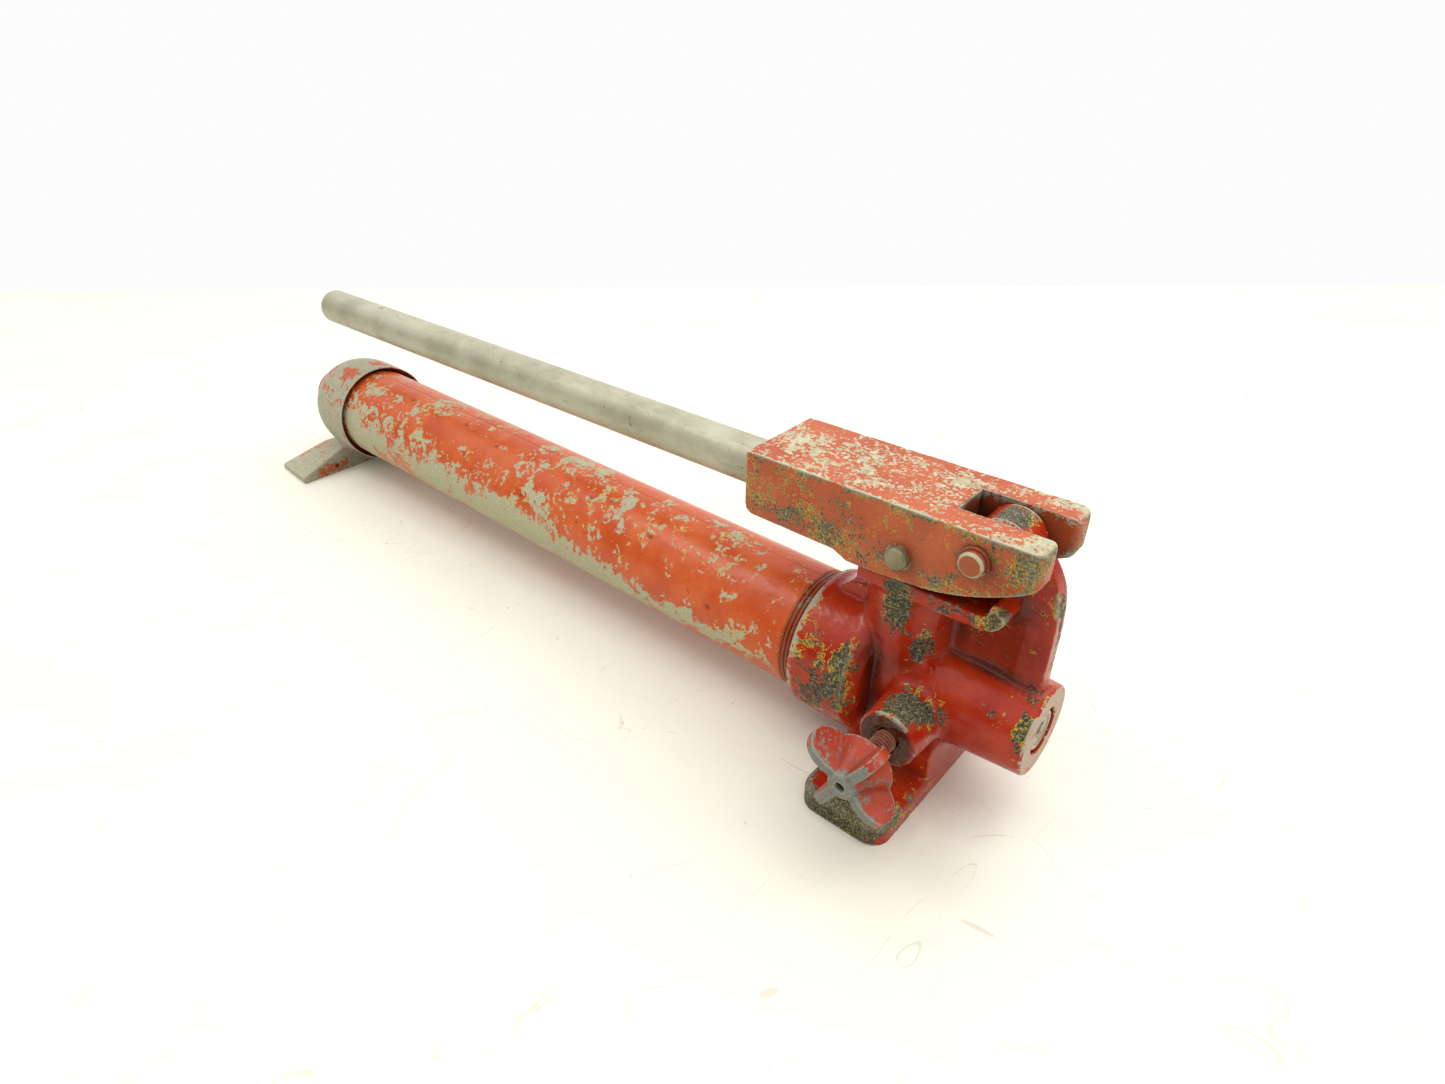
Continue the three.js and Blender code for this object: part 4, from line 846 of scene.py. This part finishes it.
def rear_cap():
    seat = CAP_DOME - CAP_DOME_LENGTH * math.sqrt(1 - (PLUG_HEAD_R / CAP_R) ** 2)
    profile = [(CAP_RIM + 2, 0), (CAP_RIM + 2, CAP_R), (CAP_RIM - 12, CAP_R)]
    for turn in np.linspace(0, math.acos(PLUG_HEAD_R / CAP_R), 24):
        profile.append((CAP_DOME - CAP_DOME_LENGTH * math.sin(turn), CAP_R * math.cos(turn)))
    dome = lathe("x", 160, profile + [(seat, 0)], TUBE_AXIS)
    piece = made("rear_cap_casting", dome, rear_foot())
    cast(piece, pick(0.8), 50, 2)
    wall = TUBE_REAR - GAP
    inside = [(CAP_RIM + 4, 0), (CAP_RIM + 4, 40), (CAP_RIM, 40), (CAP_RIM, 33.2), (CAP_RIM - 3, 31.6)]
    inside += [(CAP_RIM - 4, 31.6), (CAP_RIM - 5, POCKET_R)]
    inside += [(wall, POCKET_R), (wall, 26), (CAP_DOME, 26), (CAP_DOME - 14, 23), (CAP_DOME - 22, 15)]
    inside += [(CAP_DOME - 24.6, 10), (seat - 1, 10), (seat - 1, 0)]
    pit = rod("x", 32, -463, -460.6, 1.7, (0, -34.5, 5.4))
    carved(piece, lathe("x", 160, inside, TUBE_AXIS), pit)
    wear = [
        ((-456, -12, 72), (9, 8, 6), -0.34), ((-470, -14, 66), (7, 7, 6), -0.3),
        ((-452, 6, 74), (7, 6, 5), -0.3),
        ((-484, -29, 11), (9, 6, 5), -0.34), ((-462, -30, 6), (3, 10, 6), -0.3),
        ((-445, 0, 41), (6, 32, 34), -0.08), ((-478, 20, 56), (9, 9, 9), -0.25),
        ((-476, -36, 9), (8, 14, 6), -0.24), ((-462, -44, 4), (2, 16, 5), -0.2),
    ]
    # Painted shade on the foot's front face and under the cap's near side.
    shade_zones = both_sides(((-461, -36, 5), (2.5, 34, 10), 0.4)) + [((-470, -24, 10), (9, 8, 5), 0.4)]
    finished(piece, "pump", cap_casting, ["rear_cap"], 0.7, 0.1, wear, shade_zones, in_cap_mouth)


def fill_plug():
    head = -488.1 - 2 * GAP - 1.5
    profile = [(PLUG_END, 0), (PLUG_END, PLUG_HEAD_R), (head, PLUG_HEAD_R), (head, 9.7)]
    profile = refined(rounded(profile + [(-487.5, 9.7), (-487.5, 0)], 1.2), 1.0)
    piece = made("fill_plug_cap", lathe("x", 96, profile, TUBE_AXIS))
    carved(piece, box((PLUG_END - 1, PLUG_END + 2.5), (-20, 20), (AXIS_Z - 1.6, AXIS_Z + 1.6)))
    finished(piece, "filler", plug_enamel, ["fill_plug"], 0.3, 0.2)


reservoir_tube()
rear_cap()
fill_plug()

# ---- lever ----


def tilted(body):
    """Turns a body so that the handle's axis slopes as the lever's top does, and lifts it to that axis."""
    turn = Matrix.Rotation(-math.atan(BEAM_SLOPE), 3, "Y")
    points, faces = body
    return [tuple(turn @ Vector(p) + Vector((0, 0, HANDLE_Z))) for p in points], faces


def lever_top(x):
    return BEAM_TOP + BEAM_SLOPE * x


def lever_outline():
    """The lever's side view. Its top slopes, and the underside of its tip is rounded."""
    tip, rear, peak = BEAM_TIP, BEAM_REAR, lever_top(BEAM_TIP)
    outline = [(rear, lever_top(rear) - 0.6), (rear + 0.6, lever_top(rear)), (tip - 3.4, peak)]
    outline += bend((tip - 3.4, peak), (tip, peak), (tip, peak - 3.4), 5)
    outline += bend((tip, 126), (tip, 122.4), (42.5, 121.2), 6)
    outline += bend((42.5, 121.2), (20, 107.5), (-1, 105.5))
    outline += bend((-1, 105.5), (-15, 103.8), (-25.7, 103.5), 8)
    outline += [(-33, 103.2), (-39.7, 106.2), (-82, 106.2)]
    return outline + bend((-82, 106.2), (rear, 106.2), (rear, 111.4), 6)


def rounded_edge(side, edge, out, radius):
    """The waste outside a rounded vertical edge at the lever's tip. out is +1 or -1, away from the metal."""
    u, v = BEAM_TIP - radius, side * edge - out * radius
    turns = np.linspace(0, math.pi / 2, 9)
    curve = [(u + radius * math.cos(t), v + out * radius * math.sin(t)) for t in turns]
    beyond = side * edge + out
    return slab([(u, beyond), (BEAM_TIP + 1, beyond), (BEAM_TIP + 1, v)] + curve, (100, 145))


LEVER_WEAR = [
    # near side, with its lower edge
    ((-78, -23, 122), (14, 3, 14), 0.18), ((-60, -23, 114), (26, 3, 9), 0.22),
    ((-32, -23, 112), (22, 3, 8), 0.2), ((10, -23, 112), (28, 3, 5), 0.2),
    ((-10, -23, 126), (14, 3, 7), -0.1),
    # tips of both arms
    ((42, -22, 130), (9, 7, 14), 0.34), ((44, -12, 137), (8, 8, 5), 0.3), ((38, 19, 138), (18, 7, 5), 0.3),
    ((45, 18, 128), (4, 10, 14), 0.34), ((28, -16, 138), (14, 8, 5), 0.12),
    # top, and its near edge
    ((-60, 2, 137), (20, 16, 5), 0.16), ((-36, 8, 137), (20, 12, 5), 0.12),
    ((-80, 4, 137), (16, 22, 5), 0.15), ((-4, 14, 138), (24, 10, 5), 0.14),
    ((0, 2, 138), (14, 18, 5), 0.16), ((-45, -14, 137), (24, 9, 5), 0.16),
    ((-20, 0, 138), (90, 26, 5), 0.06), ((-20, -23, 137), (90, 2.2, 2.6), 0.22),
    # far side
    ((-60, 23, 118), (30, 3, 14), 0.24), ((20, 23, 118), (22, 3, 12), 0.2),
]
# Painted shade: zones darkened round the pins, in the slot and under the near tip.
LEVER_SHADE_ZONES = [
    # round the two pins
    ((FULCRUM_X + 2.5, -23, FULCRUM_Z - 0.5), (9.5, 2.5, 8.5), 0.75),
    ((PLUNGER_X + 2.5, -23, PIN_Z), (8.5, 2.5, 7.5), 0.75),
    ((FULCRUM_X, 23, FULCRUM_Z), (9, 2.5, 8), 0.6), ((PLUNGER_X, 23, PIN_Z), (8, 2.5, 7), 0.6),
    # slot, and the underside of the near tip
    *both_sides(((18, 10, 126), (30, 1.5, 15), 1.0)), ((6, 0, 126), (1.5, 14, 15), 1.2),
    ((40, -21, 118), (12, 6, 8), 0.35),
]


def roll_pin_hole():
    return rod("z", 32, 100, 130, ROLL_PIN_HOLE_R, (ROLL_PIN_X, 0, 0))


def lever_block():
    piece = made("lever_casting", plate(lever_outline(), (-BEAM_HALF, BEAM_HALF)))
    carved(piece, *[rounded_edge(side, BEAM_HALF, side, 6.0) for side in (-1, 1)])
    cast(piece, pick(0.5), 0, 2)
    slot = (-BEAM_SLOT, BEAM_SLOT)
    carved(
        piece,
        box((-22.7, BEAM_TIP + 1), slot, (90, 127.5)),
        box((6.3, BEAM_TIP + 1), slot, (100, 150)),
        *[rounded_edge(side, BEAM_SLOT, -side, 3.2) for side in (-1, 1)],
        tilted(rod("x", 64, BEAM_REAR - 5, HANDLE_FRONT + 0.5, SPIGOT_R + FIT)),
        rod("y", 64, -30, 30, FULCRUM_R + FIT, (FULCRUM_X, 0, FULCRUM_Z)),
        rod("y", 64, -30, 30, PIN_R + FIT, (PLUNGER_X, 0, PIN_Z)),
        roll_pin_hole(),
    )
    finished(
        piece, "lever", lever_enamel, ["lever_block"],
        0.29, 0.34, LEVER_WEAR, LEVER_SHADE_ZONES, rubbed=1.0,
    )


def handle_rod():
    shoulder = BEAM_REAR - 0.5
    profile = [(HANDLE_REAR, 0), (HANDLE_REAR, HANDLE_R), (shoulder, HANDLE_R), (shoulder, SPIGOT_R)]
    profile += [(HANDLE_FRONT, SPIGOT_R), (HANDLE_FRONT, 0)]
    bar = tilted(lathe("x", 96, refined(rounded(profile, 1.8, 5), 2.5)))
    piece = made("handle_bar", bar)
    carved(piece, roll_pin_hole())
    finished(piece, "lever", bar_steel, ["handle_rod"])


def on_chamfer(faces):
    return (abs(faces[:, 4]) > 0.25) & (abs(faces[:, 4]) < 0.97)


def pin(name, node, radius, half, x, z, material):
    bevel = 0.9
    profile = [(-half, 0), (-half, radius - bevel), (-half + bevel, radius), (half - bevel, radius)]
    profile = refined(rounded(profile + [(half, radius - bevel), (half, 0)], 0.3), 0.9)
    piece = made(name, lathe("y", 64, profile, (x, 0, z)))
    finished(piece, "lever", material, [node], 0.25, 0.5, machined_and_shaded=on_chamfer, angle=60)


def snap_ring(name, node, side):
    start, inner = side * (BEAM_HALF + GAP), FULCRUM_R + FIT
    section = [(inner, 0.1), (inner + 0.2, 0), (6.5, 0), (6.6, 0.2), (6.6, 1.3), (6.5, 1.5), (inner, 1.4)]
    rings = []
    for t in np.radians(np.arange(-20, 281, 6)):
        across, up = math.cos(t), math.sin(t)
        rings.append([(FULCRUM_X + r * across, start + side * w, FULCRUM_Z + r * up) for r, w in section])
    piece = made(name, stack(rings))
    finished(piece, "lever", clip_steel, [node])


lever_block()
handle_rod()
pin("fulcrum_bolt", "fulcrum_pin", FULCRUM_R, 27.7, FULCRUM_X, FULCRUM_Z, pin_painted)
pin("plunger_bolt", "plunger_pin", PIN_R, 26.7, PLUNGER_X, PIN_Z, pin_steel)
snap_ring("fulcrum_clip_near", "fulcrum_ring_near", -1)
snap_ring("fulcrum_clip_far", "fulcrum_ring_far", 1)

# ---- release valve ----


def cubic(a, b, c, d, steps=10):
    """Points along a cubic curve from a to d, without a itself."""
    out = []
    for t in np.linspace(0, 1, steps + 1)[1:]:
        weights = ((1 - t) ** 3, 3 * t * (1 - t) ** 2, 3 * t * t * (1 - t), t**3)
        out.append(tuple(sum(w * np.array(p) for w, p in zip(weights, (a, b, c, d)))))
    return out


def blade(turn):
    """One wing of the knob, from an outline of (distance from the axis, depth from the front)."""
    outline = [(3, KNOB_LENGTH - 1), (3, 1.1), (7, 1.0), (9.5, 0.3), (14, 0)]
    outline += cubic((14, 0), (19.4, 0.4), (22.5, 3.8), (22.4, 8.4))
    outline += cubic((22.4, 8.4), (22.3, 13.2), (18.6, 16.8), (12.5, KNOB_LENGTH))
    across, up = math.cos(turn), math.sin(turn)
    rings = []
    for w in (-BLADE / 2, BLADE / 2):
        x, z = VALVE_X - w * up, AXIS_Z + w * across
        rings.append([(x + r * across, KNOB_FRONT + y, z + r * up) for r, y in outline])
    return stack(rings)


def release_knob():
    at, rear = (VALVE_X, KNOB_FRONT, AXIS_Z), KNOB_LENGTH
    hub = [(0, 0), (0, 5.2), (0.8, 6.0), (4, 6.6), (8, 8.4), (12, 10.7), (15, 13), (16.4, 14.1), (17.4, 13.6)]
    hub += [(rear - 0.2, 10), (rear, 7.4), (rear, 0)]
    blades = [blade(math.radians(45 + KNOB_TURN + 90 * k)) for k in range(4)]
    piece = made("release_hand_wheel", lathe("y", 96, hub, at), *blades)
    cast(piece, pick(0.32), 14, 3)
    bore = [(-1, 0), (-1, 3.2), (0.6, 2.2), (4.7, 2.1), (4.7, STEM_R + FIT), (rear + 1, STEM_R + FIT)]
    carved(piece, lathe("y", 48, bore + [(rear + 1, 0)], at))
    wear = [(at, (40, 2, 40), 0.5), (at, (8, 6, 8), 0.4)]
    # Painted shade between the blades and in the bore.
    shade_zones = [((VALVE_X, KNOB_FRONT + 8, AXIS_Z), (12, 5, 12), 0.4)]
    shade_zones.append(((VALVE_X, KNOB_FRONT + 3, AXIS_Z), (2.6, 2.8, 2.6), 3.0))
    finished(piece, "release_valve", knob_zinc, ["release_knob"], 0.34, 0.5, wear, shade_zones)


def release_stem():
    low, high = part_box("release_stem")
    first, pitch, turns, root = -57.5, 1.6, 10, STEM_R - 0.8
    profile = [(low.y / MM, 0), (low.y / MM, STEM_R)]
    for k in range(turns):
        at = first + pitch * k
        profile += [(at, STEM_R), (at + 0.5, STEM_R), (at + 0.9, root), (at + 1.2, root)]
    profile += [(-27, STEM_R), (-26, 4), (-22.6, 4), (-21.6, STEM_R), (-20.4, STEM_R), (-20.4, 3.1)]
    profile += [(high.y / MM, 3.1), (high.y / MM, 0)]
    piece = made("release_spindle", lathe("y", 72, refined(profile, 1.0), VALVE_AXIS))
    finished(piece, "release_valve", stem_steel, ["release_stem"], angle=50)


release_knob()
release_stem()

# ---- outlet plug, gland, plunger and seals ----


def outlet_plug():
    """The plug in the outlet, with a hexagon socket in its head."""
    rear, head, face = 32, PORT_FACE - RECESS_DEPTH + GAP, PORT_FACE - 0.8
    shank_r, head_r, key_r, key_depth = 8.15, 9.6, 4.62, 9
    profile = [(rear, 0), (rear, 7.4), (rear + 0.8, shank_r), (head, shank_r), (head, head_r)]
    profile += [(face - 0.8, head_r), (face, head_r - 0.8), (face, 7.4), (face - 0.35, 7.1), (face - 0.35, 0)]
    piece = made("outlet_socket_plug", lathe("x", 96, refined(profile, 0.8), PORT_AXIS))
    key = [(key_r * math.cos(t), key_r * math.sin(t)) for t in np.radians(np.arange(6) * 60)]
    carved(piece, stack([[(x, u, PORT_Z + v) for u, v in key] for x in (face - key_depth, face + 2)]))
    bevel = [(face - 1.4, 0), (face - 1.4, 4.1), (face + 0.4, 5.9), (face + 0.4, 0)]
    carved(piece, lathe("x", 48, bevel, PORT_AXIS))
    finished(piece, "pump", plug_steel, ["outlet_port_plug"])


def gland_nut():
    """The nut round the plunger, with two crossed slots for its key."""
    top, foot, step, bore = DECK_TOP - 0.4, 86.7, 88.3, 6.5
    profile = [(foot, bore), (foot, 9.85), (step, 9.85), (step, 12.35), (top - 0.6, 12.35), (top, 11.7)]
    profile += [(top, bore + 0.7), (top - 0.7, bore), (foot, bore)]
    piece = made("gland_ring_nut", lathe("z", 96, refined(profile, 0.9), PLUNGER_AXIS))
    for x, y in ((20, 1.4), (1.4, 20)):
        carved(piece, box((PLUNGER_X - x, PLUNGER_X + x), (-y, y), (top - 2.5, top + 1)))
    finished(piece, "pump", gland_steel, ["gland_nut"])


def oval(back, front, radius):
    """An outline round the pin that is longer than it is high."""
    ahead = arc(PLUNGER_X + front, PIN_Z, radius, -90, 90, 18)
    return ahead + arc(PLUNGER_X + back, PIN_Z, radius, 90, 270, 18)


def plunger():
    top = PIN_Z - 4
    stem = rounded([(40, 0), (40, 5.5), (40.8, PLUNGER_R), (top, PLUNGER_R), (top, 0)], 0.3)
    stem = lathe("z", 96, refined(stem, 1.0), PLUNGER_AXIS)
    piece = made("plunger_rod", stem, plate(oval(-2.8, 1.4, 8.6), (-8, 8)))
    cast(piece, pick(0.4), 10, 3)
    carved(piece, plate(oval(-2.4, 0.9, PIN_R + 0.35), (-12, 12)))
    finished(piece, "plunger", plunger_steel, ["plunger"])


def gasket():
    low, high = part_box("fill_plug_gasket")
    washer = ring("x", 96, low.x / MM, high.x / MM, 10, PLUG_HEAD_R - 1, TUBE_AXIS)
    piece = made("fill_plug_washer", washer)
    finished(piece, "pump", seal_rubber, ["fill_plug_gasket"])


outlet_plug()
gland_nut()
plunger()
gasket()

# ---- CAD nodes that stay ----

STAYING = (
    (seal_rubber, ("body_seal_ring", "cap_seal_ring", "release_stem_seal", "plunger_packing")),
    (brass_fittings, ("intake_tube", "intake_strainer", "packing_backup_washer")),
    (bearing_steel, ("inlet_check_ball", "outlet_check_ball", "relief_ball", "release_ball")),
    (bearing_steel, ("inlet_ball_retainer", "outlet_spring_retainer", "relief_adjusting_screw")),
    (spring_steel, ("outlet_check_spring", "relief_spring", "handle_roll_pin")),
)
for material, names in STAYING:
    for name in names:
        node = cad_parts[name]
        node.data.materials.clear()
        node.data.materials.append(material)

# ---- floor, light and camera ----


FLOOR_PALE, FLOOR_STAIN = (0.83, 0.81, 0.7), (0.76, 0.72, 0.57)
SCRATCH, DOT = (0.5, 0.46, 0.33), (0.45, 0.4, 0.28)
WALL = (0.975, 0.975, 0.975)
CAMERA_AT = (0.1245, -0.2878, 0.3038)
CAMERA_AZIMUTH, CAMERA_RISE, CAMERA_ROLL, CAMERA_LENS = 40.299, 32.278, 0.6145, 21.849


def floor():
    """A pale table top, a little stained and scratched."""
    corners = [(-2.9, -1.682), (0.3, -3.4), (4.4, 0.2), (1.9, 2.818)]
    mesh = bpy.data.meshes.new("table")
    mesh.from_pydata([(x, y, -0.0001) for x, y in corners], [], [(0, 1, 2, 3)])
    net = Net(bpy.data.materials.new("TableTop"))
    stains = net.step(net.noise(9, 6.0, 0.65, 0.8), 0.45, 0.75, (0, 0.35))
    color = net.mix(stains, FLOOR_PALE, FLOOR_STAIN)
    for scale, stretch in ((6, (1.0, 2.2, 1.0)), (9, (2.0, 0.7, 1.0))):
        line = net.math("ABSOLUTE", net.math("SUBTRACT", net.noise(scale, 2.0, 0.5, 0.3, stretch), 0.5))
        broken = net.step(net.noise(scale * 3, 5.0, 0.7), 0.5, 0.56, (0, 0.45))
        color = net.mix(net.math("MULTIPLY", net.step(line, 0.0007, 0.0016, (1, 0)), broken), color, SCRATCH)
    dots = net.step(net.noise(170, 2.0, 0.5), 0.74, 0.76, (0, 0.4))
    grain = net.bump(net.noise(400, 4.0), 0.05)
    mesh.materials.append(net.surface(net.mix(dots, color, DOT), 0.5, 0.0, grain, SPECULAR))
    object_of("table", mesh)


def light(name, at, target, size, power, color=(1, 1, 1)):
    """A rectangular lamp that faces a target."""
    data = bpy.data.lights.new(name, "AREA")
    data.shape, data.size, data.size_y = "RECTANGLE", size[0], size[1]
    data.energy, data.color = power, color
    lamp = bpy.data.objects.new(name, data)
    lamp.location = at
    lamp.rotation_euler = (Vector(target) - Vector(at)).to_track_quat("-Z", "Y").to_euler()
    bpy.context.scene.collection.objects.link(lamp)


def sky():
    """A room that is bright overhead and behind the pump, dim in front, and white where it is seen."""
    world = bpy.data.worlds.new("studio")
    bpy.context.scene.world = world
    net = Net(world, "Generated")

    def towards(*direction):
        dot = net.add("ShaderNodeVectorMath", operation="DOT_PRODUCT")
        net.feed(dot.inputs[0], net.place)
        net.feed(dot.inputs[1], direction)
        return dot.outputs["Value"]

    behind = net.step(towards(-0.55, 0.83, 0), -0.2, 0.8, (0.14, 0.9))
    above = net.step(towards(0, 0, 1), 0.15, 0.75, (0.1, 1.35))
    seen = net.add("ShaderNodeLightPath").outputs["Is Camera Ray"]
    color = net.mix(seen, net.math("MAXIMUM", behind, above), WALL)
    back = net.add("ShaderNodeBackground")
    net.feed(back.inputs["Color"], color)
    net.feed(net.add("ShaderNodeOutputWorld").inputs["Surface"], back.outputs[0])


def camera():
    azimuth, rise, roll = (math.radians(a) for a in (CAMERA_AZIMUTH, CAMERA_RISE, CAMERA_ROLL))
    back = Vector((math.sin(azimuth) * math.cos(rise), -math.cos(azimuth) * math.cos(rise), math.sin(rise)))
    right = Vector((math.cos(azimuth), math.sin(azimuth), 0))
    up = back.cross(right)
    across = right * math.cos(roll) + up * math.sin(roll)
    above = -right * math.sin(roll) + up * math.cos(roll)
    data = bpy.data.cameras.new("camera")
    data.sensor_width, data.lens, data.clip_start = 36.0, CAMERA_LENS, 0.01
    view = bpy.data.objects.new("camera", data)
    turn = Matrix((across, above, back)).transposed().to_4x4()
    view.matrix_world = Matrix.Translation(CAMERA_AT) @ turn
    bpy.context.scene.collection.objects.link(view)
    bpy.context.scene.camera = view


floor()
sky()
light("overhead", (0.2, 0.45, 1.3), (-0.1, 0, 0), (1.6, 1.2), 9, (1.0, 0.99, 0.97))
light("window", (-0.85, -0.4, 1.2), (-0.05, 0, 0.06), (0.35, 0.35), 2.4)
camera()
settings = bpy.context.scene.view_settings
settings.view_transform, settings.look, settings.exposure = "Standard", "None", 0.0
